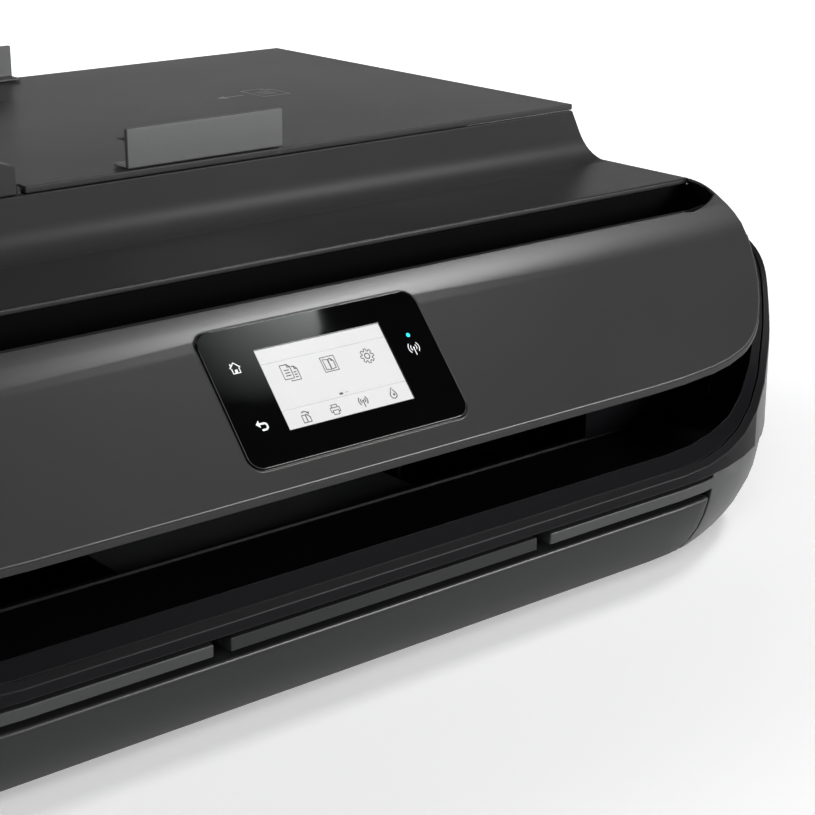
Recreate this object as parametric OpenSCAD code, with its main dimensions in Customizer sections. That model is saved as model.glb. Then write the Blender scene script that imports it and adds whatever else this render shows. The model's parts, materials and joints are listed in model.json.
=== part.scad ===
// Inkjet all-in-one printer: paper drawer, output bowl, lift-up scanner unit, document feeder.
// Origin: centre of the footprint on the table. +X right, +Y back, +Z up. Millimetres.

/* [Body] */
// Overall width
body_w = 445; // [440:1:470]
// Overall depth
body_d = 367; // [360:1:390]
// Height of the scanner lid's top face
deck_h = 132.5; // [130:0.5:140]
// Overall height, over the document feeder's cover
body_h = 191; // [186:1:200]
// Wall of the plastic shells
wall = 2.5; // [2:0.1:3]
// Height of the seam between the lower and the middle shell
seam_h = 39.4; // [38.8:0.1:40.2]
// Radius of the gentle part of the front corners
corner_r = 120; // [110:1:130]
// Angle that the gentle part turns through
corner_turn = 40; // [36:1:42]
// Radius of the tight part of the front corners
corner_tight_r = 20; // [18:1:24]
// Radius of the rear corners
rear_r = 22; // [18:1:28]
// Radius of the lower shell's hull curve
hull_r = 50; // [48:1:60]
// Height of the rubber feet
foot_h = 3; // [2.5:0.1:3.5]
// Diameter of the rubber feet
foot_d = 16; // [12:1:20]

/* [Output bowl] */
// Height of the bowl's front rim
rim_h = 43.5; // [42.8:0.1:44.5]
// Width of the paper exit in the bowl's back wall
exit_w = 284; // [240:2:290]
// Distance of the bowl's back wall behind the front of the body
bowl_depth = 56.5; // [54:0.5:58]
// Gap between the bowl and the shell around it
bowl_gap = 0.4; // [0.2:0.1:0.6]

/* [Control panel] */
// Slope of the fascia
fascia_tilt = 48.5; // [46:0.5:51]
// Distance of the fascia's lip behind the front of the body
lip_back = 9.6; // [9:0.1:12]
// Height of the fascia's lip
lip_h = 77.1; // [76:0.1:80]
// Length of the fascia's flat face
face_l = 51.4; // [50:0.2:52]
// Radius of the roll above the flat face
roll_r = 45; // [42:1:48]
// Thickness of the fascia
fascia_t = 2.2; // [2:0.1:2.6]
// Distance of the fascia's ends inside the body's sides
fascia_inset = 4.2; // [3.9:0.1:6.5]
// Width of the black glass
glass_w = 91; // [84:1:100]
// Length of the black glass up the slope
glass_l = 49.7; // [44:0.1:50]
// Corner radius of the black glass
glass_r = 5.5; // [3:0.5:8]
// Width of the screen
screen_w = 51.7; // [46:0.1:56]
// Height of the screen up the slope
screen_l = 29.4; // [26:0.1:34]

/* [Paper drawer] */
// Half width of the drawer's front
drawer_front_hw = 156.8; // [150:0.1:156.8]
// Top of the drawer's front
drawer_front_top = 29.7; // [28:0.1:30.5]
// Outer width of the drawer's tray
tray_w = 256; // [250:1:258]
// Height of the drawer's tray walls
tray_h = 19; // [16:1:20]
// Wall of the drawer's tray
tray_t = 2; // [1.6:0.1:2.4]
// Sheet width that the drawer's guides are set to
sheet_w = 210; // [148:1:216]
// Sheet length that the drawer's stop is set to
sheet_l = 297; // [210:1:297]

/* [Tray extender] */
// Width of the extender
extender_w = 130; // [110:1:134]
// Thickness of the extender
extender_t = 4.6; // [4.2:0.1:4.8]
// Travel of the extender
extender_travel = 100; // [60:5:100]

/* [Printing] */
// Width of the print carriage
carriage_w = 84; // [80:1:86]
// Radius of the carriage rod
rod_r = 4; // [3.5:0.1:4.4]
// Radius of the feed roller's rubber
feed_r = 7; // [6.5:0.1:7]
// Radius of the output roller's rubber
output_r = 5; // [4.5:0.1:5]
// Radius of the pickup tyre
pickup_r = 12; // [10:0.5:13]
// Running clearance on the shafts, radial
run_gap = 0.05; // [0.03:0.01:0.08]
// Teeth of the feed and output gears
gear_teeth = 40; // [39:1:42]
// Teeth of the idler gear
idler_teeth = 60; // [59:1:62]
// Teeth of the motor pinion
pinion_teeth = 14; // [12:1:16]

/* [Scanner] */
// Length of the scanner glass
scan_glass_w = 312; // [306:1:316]
// Width of the scanner glass
scan_glass_d = 228; // [222:1:232]
// Thickness of the scanner glass
scan_glass_t = 2.8; // [2.4:0.1:3]
// Travel of the scan bar
scan_travel = 296; // [220:2:300]
// Thickness of the lid's plate
lid_t = 2.4; // [2:0.1:2.8]

/* [Document feeder] */
// Height of the feeder's base above the lid
adf_base_h = 18.5; // [17:0.5:20]
// Slope of the feeder's front ramp
ramp_tilt = 60; // [55:1:65]
// Radius at the foot of the ramp
ramp_r = 20; // [15:1:22]
// Distance of the ramp's foot in front of the centre
ramp_foot = 60; // [58:1:64]
// Right-hand edge of the feeder's cover, left of the centre
cover_edge = 52; // [50:1:60]
// Radius of the feeder's feed roller
adf_roller_r = 9; // [8:0.5:9.5]

/* [Hidden] */
$fn = 48;
far = 600;                       // longer than the printer, for cutting tools
eps = 0.01;
hw = body_w/2;
y_front = -body_d/2;
y_back = body_d/2;

// ---- tracing outlines -------------------------------------------------------------------------
// A trace starts at p with heading h and follows moves: [length, 0] is straight ahead and
// [radius, angle] an arc, to the left where the angle is positive. t shifts it to the right.
function left_of(h) = [-sin(h), cos(h)];
function arc_centre(p, h, r, turn) = p + sign(turn)*r*left_of(h);
function arc_points(p, h, r, turn) =
    let(c = arc_centre(p, h, r, turn), n = max(2, ceil(abs(turn)/7)))
    [for (i = [1:n]) c - sign(turn)*r*left_of(h + turn*i/n)];
function trace_on(p, h, moves, t, i) = i == len(moves) ? [] :
    let(m = moves[i], r = m[0] + sign(m[1])*t)
    let(step = m[1] == 0 ? [p + m[0]*[cos(h), sin(h)]] : arc_points(p, h, r, m[1]))
    concat(step, trace_on(step[len(step) - 1], h + m[1], moves, t, i + 1));
function trace(p, h, moves, t = 0) =
    let(start = p - t*left_of(h)) concat([start], trace_on(start, h, moves, t, 0));
function mirrored(points) = [for (i = [len(points) - 1:-1:0]) [-points[i][0], points[i][1]]];

// ---- plan of the body -------------------------------------------------------------------------
gentle_x = corner_r*sin(corner_turn);
tight_x = corner_tight_r*(1 - sin(corner_turn));
corner_x = hw - gentle_x - tight_x;
corner_y = corner_r*(1 - cos(corner_turn)) + corner_tight_r*cos(corner_turn);
plan_moves = [[corner_x, 0], [corner_r, corner_turn], [corner_tight_r, 90 - corner_turn],
    [body_d - corner_y - rear_r, 0], [rear_r, 90], [hw - rear_r, 0]];
function plan_half(inset) = trace([0, y_front], 0, plan_moves, -inset);
module plan(inset = 0) { polygon(concat(plan_half(inset), mirrored(plan_half(inset)))); }

// Lower shell: the plan draws in towards the floor along an arc
shell_z = foot_h;
seam_inset = 1.2;
function hull_inset(z) = seam_inset + hull_r*(1 - sqrt(1 - pow((seam_h - z)/hull_r, 2)));
module hull_slices(inset, z0, z1) {
    hull() for (i = [0:6]) let(z = z0 + (z1 - z0)*i/6)
        translate([0, 0, min(z, z1 - eps)]) linear_extrude(eps) plan(hull_inset(z) + inset);
}
floor_z = shell_z + wall;

// Slope of the rim along the sides: up from the low front rim to the scanner seam
rim_start = 35;
rim_slope = 72;
rim_moves = [[3.5, 0], [75, rim_slope - rim_start], [14, 0], [26, 20 - rim_slope], [26, -20]];
function rim_line(drop) = trace([y_front, rim_h], rim_start, rim_moves, drop);
rim_points = rim_line(0);
mid_top = rim_points[len(rim_points) - 1][1];
module below_rim(drop) {
    pts = rim_line(drop);
    last = pts[len(pts) - 1];
    rotate([90, 0, 90]) translate([0, 0, -far/2]) linear_extrude(far)
        polygon(concat([[y_front - 20, -20], [y_front - 20, rim_h - drop]], pts,
            [[y_back + 20, last[1]], [y_back + 20, -20]]));
}

// Drawer bay and the front strips
bay_hw = drawer_front_hw + 0.7;
bay_y = y_front + 26;
strip_z = drawer_front_top + 3;
strip_t = extender_t;
notch_w = 6.5;
rail_gap = 0.4;
tray_hw = tray_w/2;
tray_z = floor_z + 0.3;

// Fascia: profile in (y, z)
lip = [y_front + lip_back, lip_h];
scoop_turn = 20.2;               // the part of the roll that shows in front of the scoop
scoop_lip_r = 3;
scoop_drop = 3.2;
scoop_floor_r = 4;
scoop_wall = 100;
fascia_hw = hw - fascia_inset;
roll_moves = [[face_l, 0], [roll_r, -scoop_turn]];
fascia_moves = concat(roll_moves, [[scoop_lip_r, -scoop_wall], [scoop_drop, 0],
    [scoop_floor_r, scoop_wall - (fascia_tilt - scoop_turn)], [13.5, 0]]);
function fascia_line(t) = trace(lip, fascia_tilt, fascia_moves, t);
fascia_end = fascia_line(0)[len(fascia_line(0)) - 1];
// At the scoop's ends the roll carries on, up to the level of the lid
end_t = 2.2;
end_curve_l = 26.3;              // where the scoop's front starts to curve back, from the end
end_curve_r = 49;
end_roll_r = 32;
roll_line = trace(lip, fascia_tilt, roll_moves);
roll_end = roll_line[len(roll_line) - 1];
end_line = trace(roll_end, fascia_tilt - scoop_turn, [[6.7, 0], [end_roll_r, scoop_turn - fascia_tilt]]);
// Outline of the fascia's lower corners, in its own plane (x, distance up the slope)
fascia_arcs = [[400, 5], [85, 13], [38, 30], [75, 42]];
function arc_dx(a, i = 0, h = 0) = i == len(a) ? 0 :
    a[i][0]*(sin(h + a[i][1]) - sin(h)) + arc_dx(a, i + 1, h + a[i][1]);
fascia_start = fascia_hw - arc_dx(fascia_arcs);
module fascia_space(inset) {
    half = trace([0, 0], 0, concat([[fascia_start, 0]], fascia_arcs, [[160, 0]]), -inset);
    translate([0, lip[0], lip[1]]) rotate([fascia_tilt, 0, 0])
        translate([0, 0, -60]) linear_extrude(160) polygon(concat(half, mirrored(half)));
}
module on_face(u, out) {          // frame on the fascia's plane, u up the slope, out of it
    translate([0, lip[0], lip[1]]) rotate([fascia_tilt, 0, 0]) translate([0, u, out]) children();
}
screen_u = 33.9;                 // the screen's centre above the lip, up the slope
glass_u = screen_u - 0.35;       // the glass's centre
glass_t = 1.8;
glass_proud = 0.5;
glass_gap = 0.25;
module rounded(w, l, r) {
    for (a = [-1, 1]) for (b = [-1, 1]) translate([a*(w/2 - r), b*(l/2 - r)]) circle(r);
    square([w - 2*r, l], center = true);
    square([w, l - 2*r], center = true);
}

// Scanner unit
unit_seam = 1.2;                 // gap above the middle shell
unit_z = mid_top + unit_seam;
lid_z = deck_h - lid_t;          // underside of the lid
deck_top = lid_z - 2.1;
deck_t = 4;
unit_rim_h = lid_z - 0.3;
unit_front = fascia_end[0] + 0.3;
unit_back = y_back - 4;
unit_hw = fascia_hw;
unit_r = 18;
tub_z = 98.2;
tub_hw = 172;
tub_y0 = unit_front + 4;
tub_y1 = 172.5;
glass_y = 30;
unit_hinge = [y_back - 6, mid_top - 4];
hinge_x = 150;
hinge_w = 14;
hinge_r = 2.5;
lug_r = 4.8;
lid_hinge = [unit_back - 3, deck_top - 2];
lid_hinge_x = 118;

module unit_plan(inset, y0 = unit_front) {
    x = unit_hw - inset;
    y1 = unit_back - inset;
    r = unit_r - inset;
    translate([-x, y0]) square([2*x, y1 - r - y0]);
    translate([-x + r, y1 - r - eps]) square([2*(x - r), r + eps]);
    for (s = [-1, 1]) translate([s*(x - r), y1 - r]) circle(r);
}

// ---- simple solids ----------------------------------------------------------------------------
module box(lo, hi) { translate(lo) cube(hi - lo); }
module slab(half_x, ys, zs) { box([-half_x, ys[0], zs[0]], [half_x, ys[1], zs[1]]); }
module x_rod(r, x0, x1, at) {            // along X, at (y, z)
    translate([x0, at[0], at[1]]) rotate([0, 90, 0]) cylinder(h = x1 - x0, r = r);
}
module across(r, half_x, at) { x_rod(r, -half_x, half_x, at); }
module y_rod(r, y0, y1, at) {            // along Y, at (x, z)
    translate([at[0], y0, at[1]]) rotate([-90, 0, 0]) cylinder(h = y1 - y0, r = r);
}
module twins() { children(); mirror([1, 0, 0]) children(); }

// Chassis and what it carries
side_bay = 27.25;                // from the side plates' inner faces to the body's sides
plate_x = hw - side_bay;
plate_t = 1.5;
plate_y0 = -46;
plate_y1 = y_back - 18.5;
plate_top = 95;
cross_z = 42;
rod_at = [46, 84];
feed_at = [42, 47];
output_at = [-36, 49];
pinch_r = 4;
pinch_at = [feed_at[0], feed_at[1] + feed_r + 0.3 + pinch_r];
star_r = 4.5;
star_at = [output_at[0], output_at[1] + output_r + 0.3 + star_r];
shaft_r = 3;
thin_shaft_r = 1.5;
gear_x0 = plate_x + plate_t + 1.2;
gear_w = 5;
gear_m = 0.8;                    // module of the gear train
gear_r = gear_m*gear_teeth/2;
idler_r = gear_m*idler_teeth/2;
pinion_r = gear_m*pinion_teeth/2;
idler_reach = gear_r + idler_r;
pair_mid = (feed_at + output_at)/2;
pair_d = norm(feed_at - output_at);
idler_at = pair_mid - [0, sqrt(idler_reach*idler_reach - pair_d*pair_d/4)];
pinion_at = [feed_at[0], feed_at[1] - gear_r - pinion_r];
nozzle_z = 57;
carriage_top = plate_top;
carriage_y0 = -28;
carriage_y1 = 32;
carriage_park = plate_x - carriage_w/2 - 1.2;
belt_r = 4.6;
belt_t = 1;
belt_at = 61;                    // y of the belt pulleys' axes
belt_z = 75;
belt_h = 6;
pulley_x = plate_x - 14.25;
belt_front = belt_at - belt_r - belt_t;
turn_at = [y_back - 33.5, 60];             // centre of the paper's turn at the back
turn_r = 30;
pickup_at = [turn_at[0] - 38, tray_z + tray_h + 0.9 + pickup_r];

function mesh_phase(phi, teeth_a, phase_a, teeth_b) =
    phi + 180 - (0.5 - (phi - phase_a)*teeth_a/360)*360/teeth_b;
function bearing(a, b) = atan2(b[1] - a[1], b[0] - a[0]);
idler_phase = mesh_phase(bearing(feed_at, idler_at), gear_teeth, 0, idler_teeth);
output_phase = mesh_phase(bearing(idler_at, output_at), idler_teeth, idler_phase, gear_teeth);
pinion_phase = mesh_phase(bearing(feed_at, pinion_at), gear_teeth, 0, pinion_teeth);
tooth = [[-0.29, -1.1], [-0.12, 0.75], [0.12, 0.75], [0.29, -1.1]];   // [pitches, modules]
module gear_blank(teeth, phase, m = gear_m) {
    pitch = 360/teeth;
    polygon([for (i = [0:teeth - 1]) for (k = tooth) let(a = phase + (i + k[0])*pitch)
        m*(teeth/2 + k[1])*[cos(a), sin(a)]]);
}
module gear(teeth, phase, at, bore) {
    translate([-gear_x0 - gear_w, at[0], at[1]]) rotate([90, 0, 90])
        difference() {
            linear_extrude(gear_w) gear_blank(teeth, phase);
            translate([0, 0, -1]) cylinder(h = gear_w + 2, r = bore);
        }
}

// Document feeder
adf_z = deck_h;
adf_floor = adf_z + 2.4;
adf_top = adf_z + adf_base_h;
ramp_rise = adf_base_h - ramp_r*(1 - cos(ramp_tilt));
ramp_moves = [[ramp_r, ramp_tilt], [ramp_rise/sin(ramp_tilt), 0]];
ramp_line = trace([-ramp_foot, adf_z], 0, ramp_moves, 0);
ramp_top = ramp_line[len(ramp_line) - 1][0];
bay_front = ramp_top + wall;
bay_rear = unit_back - wall - 0.5;
adf_hw = unit_hw - 1;
cover_x0 = -adf_hw;
cover_z = adf_top + 0.4;
cover_edge_r = 1.9;
cover_hinge = [cover_x0 + cover_edge_r, cover_z + cover_edge_r];
roller_at = [[-140, adf_floor + 1.2 + adf_roller_r], [-104, adf_floor + 1.2 + adf_roller_r]];

mid_wall = wall + 0.3;
bowl_floor = seam_h + 1.8;
bowl_top = 86.6;
exit_top = 76;
bowl_steps = [[bowl_floor, 26], [bowl_floor + 1.2, 14], [bowl_floor + 5, 7.5], [bowl_floor + 14, 4.6],
    [bowl_floor + 40, 3.2], [mid_top + 30, 3.2]];
foot_places = [for (sx = [-1, 1]) for (y = [y_front + 55.5, y_back - 43.5]) [sx*(hw - 54.5), y]];
foot_plug_r = 3;
lug_hw = hinge_w/2;
door_hw = 118;
door_z0 = 46;
door_z1 = 90;
door_gap = 0.5;
door_pin_r = 1.5;
door_hinge = [y_back - 2, door_z0 + 2];
back_drop = 2.2;                 // the back wall ends lower, so that the scanner unit clears it
inlet_x0 = tray_hw + 22;
inlet_x1 = inlet_x0 + 25;
inlet_z0 = 12;
inlet_z1 = 32;
inlet_y1 = y_back - 7.5;
inlet_y0 = inlet_y1 - 31;
board_x0 = tray_hw + 8;
board_x1 = plate_x - 4;
board_y0 = 62;
board_y1 = y_back - 12;
board_z = 14;
board_t = 1.6;
port_x0 = board_x0 + 14;
port_x1 = port_x0 + 16;
port_top = 28;
port_y1 = y_back - 7;
board_posts = [for (x = [board_x0 + 4, board_x1 - 4]) for (y = [board_y0 + 4, board_y1 - 22]) [x, y]];
back_y = 76;
shelf_z = 56;
shelf_w = 30;
motor_l = 18;
motor_r = 12;
encoder_z = 86;
platen_hw = plate_x - 87.25;
platen_y0 = -16;
platen_y1 = 32;
platen_top = 53.4;
park_x = carriage_park;
well_w = 37;
well_pitch = well_w + 3.4;
latch_at = [carriage_y0 - 1.4, nozzle_z + 9];
sled_z = cross_z + plate_t + 6.4;
guide_end = 66;
tray_y0 = y_front + 19.5;
tray_y1 = y_back - 35.5;
deck_z = tray_z + 5.2;
channel_hw = tray_hw - 12;
channel_d = 11;
rack_teeth = 12;
rack_r = rack_teeth/2;
rack_pitch = PI;
rack_z = tray_z + tray_t + 0.3;
rack_h = 2.4;
rail_y0 = y_front + 14.4;
extender_y0 = y_front + hull_inset(strip_z + extender_t/2) + 0.2;
extender_y1 = extender_y0 + extender_travel + 30;
tip_w = 84;
tip_l = 70;
tip_bar = 6;                     // its handle, across the front of the extender
button_x = 185;
button_u = 40;
button_r = 7.5;
bar_w = 20;
scan_rod_z = tub_z + 6.8;
scan_belt_y = glass_y + scan_glass_d/2 + 16;
scan_belt_r = 5;
scan_belt_z = tub_z + wall + 16;
scan_pulley_x = 156;
lid_front = unit_front - 1.4;
divider_x = -cover_edge - 8;
tray_edge_r = 1.25;
feeder_tray_hinge = [-cover_edge + 0.6 + tray_edge_r, cover_z + tray_edge_r];
ear_r = 1.6;
ear_w = 8;
ear_pin_r = 0.8;
cover_ears = [10, 123];
cover_y1 = unit_back - 0.5;
feeder_mid = (ramp_top + cover_y1)/2;
feeder_half = (cover_y1 - ramp_top)/2;
guide_y = feeder_half - 3.1;     // the guides' faces on the sheet, from the tray's middle line
guide_foot = guide_y - 1.7;
guide_base = guide_y - 8.3;
guide_travel = 45;
guide_x0 = 24;
module along_x(x0, x1) { rotate([90, 0, 90]) translate([0, 0, x0]) linear_extrude(x1 - x0) children(); }
function around(half) = [-half, half];

// Feeder cover: profile in (x, z), from its lower left corner over the hump to its right edge
cover_slope = 15;
cover_peak = 24.63;              // rise of the two arcs and the straight between them
cover_line_moves = [[body_h - cover_z - cover_peak, 0], [18, cover_slope - 90], [20, 0],
    [60, -2*cover_slope]];
function cover_line(t) =
    let(pts = trace([cover_x0, cover_z], 90, cover_line_moves, t), last = pts[len(pts) - 1])
    let(x1 = -cover_edge - t)
    concat(pts, [[x1, last[1] - (x1 - last[0])*tan(cover_slope)], [x1, cover_z]]);

// ================================= lower body ===================================================
module lower_shell() color([0.29, 0.3, 0.3]) {
    difference() {
        hull_slices(0, shell_z, seam_h);
        hull_slices(wall, floor_z, seam_h + 0.002);
        translate([0, 0, seam_h - 0.02]) linear_extrude(1) plan(seam_inset + wall);
        slab(bay_hw, [y_front - 5, bay_y], [-1, seam_h + 1]);
        box([-inlet_x1 - 0.3, y_back - 20, inlet_z0 - 0.3], [-inlet_x0 + 0.3, y_back + 1, inlet_z1 + 0.3]);
        box([port_x0 - 0.3, y_back - 20, board_z + board_t - 0.3],
            [port_x1 + 0.3, y_back + 1, port_top + 0.3]);
        for (p = foot_places) translate([p[0], p[1], shell_z - 1])
            cylinder(h = 1 + wall/2, r = foot_plug_r);
    }
    twins() {
        intersection() {
            hull_slices(0, shell_z, seam_h);
            box([bay_hw, y_front, shell_z], [bay_hw + wall, bay_y + 4, seam_h]);
        }
        intersection() {
            hull_slices(0, shell_z, seam_h);
            box([extender_w/2 + notch_w, y_front, strip_z],
                [bay_hw + eps, y_front + 14, strip_z + strip_t]);
        }
        box([tray_hw + rail_gap, bay_y + 8, floor_z - eps], [tray_hw + rail_gap + 2.4, 140, floor_z + 9]);
    }
    for (p = board_posts) translate([p[0], p[1], floor_z - eps])
        cylinder(h = board_z - floor_z + eps, r = 3);
}

module rubber_feet() color([0.08, 0.08, 0.08])
    for (p = foot_places) translate([p[0], p[1], 0]) {
        r = foot_d/2;
        rotate_extrude() polygon([[0, 0], [r - 1.2, 0], [r, 1.2], [r, foot_h], [0, foot_h]]);
        translate([0, 0, foot_h - eps]) cylinder(h = wall/2 - 0.1, r = foot_plug_r - 0.1);
    }

module middle_shell() color([0.2, 0.2, 0.21]) difference() {
    union() {
        difference() {
            translate([0, 0, seam_h]) linear_extrude(mid_top - seam_h) plan(0);
            translate([0, 0, seam_h - 1]) linear_extrude(mid_top) plan(mid_wall);
            difference() {
                translate([0, 0, seam_h - 2]) linear_extrude(mid_top) plan(-1);
                below_rim(0);
            }
            slab(door_hw + door_gap, [y_back - 12, y_back + 1], [door_z0 - door_gap, door_z1 + door_gap]);
        }
        for (s = [-1, 1]) for (x0 = [s*hinge_x + lug_hw + 0.5, s*hinge_x - lug_hw - 3.5])
            box([x0, y_back - 10.2, mid_top - 12], [x0 + 3, y_back - mid_wall + eps, mid_top - back_drop]);
        twins() box([door_hw + door_gap, y_back - 5.5, door_z0 - 2],
            [door_hw + door_gap + 3, y_back - mid_wall + eps, door_z0 + 8]);
    }
    slab(hw - rear_r + 7, [y_back - 10, y_back + 1], [mid_top - back_drop, mid_top + 1]);
    for (s = [-1, 1]) {
        box([s*hinge_x - lug_hw - 0.5, unit_hinge[0] - lug_r - 1, unit_hinge[1] - lug_r - 0.8],
            [s*hinge_x + lug_hw + 0.5, y_back + 1, mid_top + 1]);
        x_rod(hinge_r + run_gap, s*hinge_x - lug_hw - 4, s*hinge_x + lug_hw + 4, unit_hinge);
        x_rod(door_pin_r + run_gap, s*(door_hw + 2) - 2.6, s*(door_hw + 2) + 2.6, door_hinge);
    }
}

module output_bowl() color([0.13, 0.13, 0.15]) {
    intersection() {
        difference() {
            translate([0, 0, seam_h]) linear_extrude(mid_top) intersection() {
                plan(mid_wall + bowl_gap);
                translate([-hw, y_front]) square([body_w, bowl_depth + wall]);
            }
            intersection() {
                hull() for (s = bowl_steps) translate([0, 0, s[0]])
                    linear_extrude(eps) plan(mid_wall + s[1]);
                slab(hw, [y_front, y_front + bowl_depth], [0, far]);
            }
            slab(exit_w/2, [y_front + bowl_depth - 5, 0], [bowl_floor + 1, exit_top]);
            slab(hw, [y_front + bowl_depth - 5, 0], [bowl_top, far]);
        }
        below_rim(0.5);
    }
    rail_y1 = y_front + bowl_depth + wall;
    twins() {
        box([extender_w/2 + 0.4, rail_y0, strip_z - 2.2], [extender_w/2 + 3, rail_y1, seam_h + eps]);
        box([extender_w/2 - 4, rail_y0, strip_z - 2.2], [extender_w/2 + 1, rail_y1, strip_z - 0.3]);
    }
}

// ================================= print engine =================================================
module chassis_frame() color([0.72, 0.73, 0.74]) difference() {
    union() {
        twins() difference() {
            box([plate_x, plate_y0, floor_z], [plate_x + plate_t, plate_y1, plate_top]);
            box([plate_x - 1, back_y, cross_z - 2], [plate_x + plate_t + 1, plate_y1 - 24, plate_top - 11]);
        }
        slab(plate_x + eps, [plate_y0, 30], [cross_z, cross_z + plate_t]);
        slab(plate_x + eps, [back_y, back_y + plate_t], [68, plate_top]);
        twins() box([plate_x - shelf_w, 48, shelf_z], [plate_x + eps, back_y + plate_t, shelf_z + plate_t]);
        twins() box([plate_x - shelf_w, back_y, shelf_z], [plate_x + eps, back_y + plate_t, 70]);
        translate([pulley_x, belt_at, shelf_z])
            cylinder(h = belt_z + belt_h + 2 - shelf_z, r = thin_shaft_r);
    }
    across(rod_r, plate_x + 3, rod_at);
    for (c = [feed_at, output_at, pickup_at])
        across(shaft_r + run_gap, plate_x + 3, c);
    for (c = [pinch_at, star_at]) across(thin_shaft_r + run_gap, plate_x + 3, c);
    for (c = [pinion_at, idler_at]) x_rod(thin_shaft_r + run_gap, -plate_x - 3, -plate_x + 1, c);
    translate([-pulley_x, belt_at, shelf_z - 1]) cylinder(h = plate_t + 2, r = thin_shaft_r + run_gap);
}

module carriage_rod() color("silver") across(rod_r, plate_x + plate_t, rod_at);

module encoder_strip() color([0.75, 0.78, 0.8, 0.6])
    slab(plate_x, [belt_front, belt_front + 0.4], [encoder_z, encoder_z + 5]);

module stadium(r) {
    for (s = [-1, 1]) translate([s*pulley_x, belt_at]) circle(r);
    translate([-pulley_x, belt_at - r]) square([2*pulley_x, 2*r]);
}
module carriage_belt() color([0.06, 0.06, 0.06]) translate([0, 0, belt_z]) linear_extrude(belt_h)
    difference() {
        stadium(belt_r + belt_t);
        stadium(belt_r);
    }

module carriage_motor() color([0.6, 0.6, 0.58]) translate([-pulley_x, belt_at, shelf_z]) difference() {
    translate([0, 0, -motor_l]) cylinder(h = motor_l, r = motor_r);
    translate([0, 0, -8]) cylinder(h = 9, r = thin_shaft_r + run_gap);
}

module belt_pulley() {
    z0 = belt_z - 1;
    translate([0, 0, z0]) {
        cylinder(h = belt_h + 2, r = belt_r - 0.3);
        for (z = [0, belt_h + 1.3]) translate([0, 0, z]) cylinder(h = 0.7, r = belt_r + 1.2);
    }
}
module drive_pulley() color([0.85, 0.84, 0.8]) translate([-pulley_x, belt_at, 0]) {
    belt_pulley();
    translate([0, 0, shelf_z - 7]) cylinder(h = belt_z - shelf_z + 7, r = thin_shaft_r);
}
module idler_pulley() color([0.85, 0.84, 0.8]) translate([pulley_x, belt_at, 0]) difference() {
    union() {
        belt_pulley();
        translate([0, 0, shelf_z + plate_t + 0.3]) cylinder(h = belt_z - shelf_z - plate_t, r = 3);
    }
    translate([0, 0, shelf_z]) cylinder(h = 40, r = thin_shaft_r + run_gap);
}

module platen() color([0.12, 0.12, 0.12]) difference() {
    slab(platen_hw, [platen_y0, platen_y1], [cross_z + plate_t, platen_top]);
    for (x = [-platen_hw + 10:20:platen_hw - 20])
        box([x, platen_y0 + 4, platen_top - 1.5], [x + 12, platen_y1 - 4, platen_top + 1]);
}

module tyres(r, w, xs, at) for (x = xs) x_rod(r, x - w/2, x + w/2, at);
module feed_roller() color([0.1, 0.1, 0.1]) {
    x_rod(shaft_r, -gear_x0 - gear_w, plate_x + plate_t + 1, feed_at);
    across(feed_r, platen_hw, feed_at);
    gear(gear_teeth, 0, feed_at, shaft_r - 0.5);
}
module pinch_rollers() color([0.75, 0.75, 0.72]) {
    across(thin_shaft_r, plate_x + plate_t, pinch_at);
    tyres(pinch_r, 14, [-90:36:90], pinch_at);
}
module output_roller() color([0.12, 0.12, 0.12]) {
    x_rod(shaft_r, -gear_x0 - gear_w, plate_x + plate_t + 1, output_at);
    tyres(output_r, 10, [-90:36:90], output_at);
    gear(gear_teeth, output_phase, output_at, shaft_r - 0.5);
}
module star_wheels() color([0.7, 0.7, 0.7]) {
    across(thin_shaft_r, plate_x + plate_t, star_at);
    for (x = [-90:36:90]) along_x(x - 0.6, x + 0.6) translate(star_at)
        polygon([for (i = [0:23]) (i % 2 == 0 ? star_r : star_r - 1.2)*[cos(15*i), sin(15*i)]]);
}
module idler_gear() color([0.85, 0.84, 0.8]) {
    gear(idler_teeth, idler_phase, idler_at, thin_shaft_r - 0.5);
    x_rod(thin_shaft_r, -gear_x0 - gear_w, -plate_x + 0.4, idler_at);
}
module pickup_roller() color([0.15, 0.15, 0.15]) {
    across(shaft_r, plate_x + plate_t, pickup_at);
    tyres(pickup_r, 18, [-16, 16], pickup_at);
}
module feed_motor() color([0.6, 0.6, 0.58]) difference() {
    x_rod(motor_r - 1, -plate_x, -plate_x + motor_l, pinion_at);
    x_rod(thin_shaft_r + run_gap, -plate_x - 1, -plate_x + 8, pinion_at);
}
module motor_pinion() color([0.8, 0.7, 0.4]) {
    gear(pinion_teeth, pinion_phase, pinion_at, thin_shaft_r - 0.5);
    x_rod(thin_shaft_r, -gear_x0 - gear_w, -plate_x + 7, pinion_at);
}

module paper_guide() color([0.14, 0.14, 0.14]) difference() {
    top = turn_at + [0, turn_r - 3];
    end = [guide_end, feed_at[1] + feed_r + 4.6];
    inner = trace(top, 0, [[turn_r - 3, -180]], 2);
    along_x(-plate_x, plate_x) polygon(concat([end + [0, 2]], trace(top, 0, [[turn_r - 3, -180]]),
        [for (i = [len(inner) - 1:-1:0]) inner[i]], [end]));
    twins() box([plate_x - shelf_w - 0.5, 0, 0], [plate_x + 1, back_y + plate_t + 0.5, far]);
}

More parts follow.
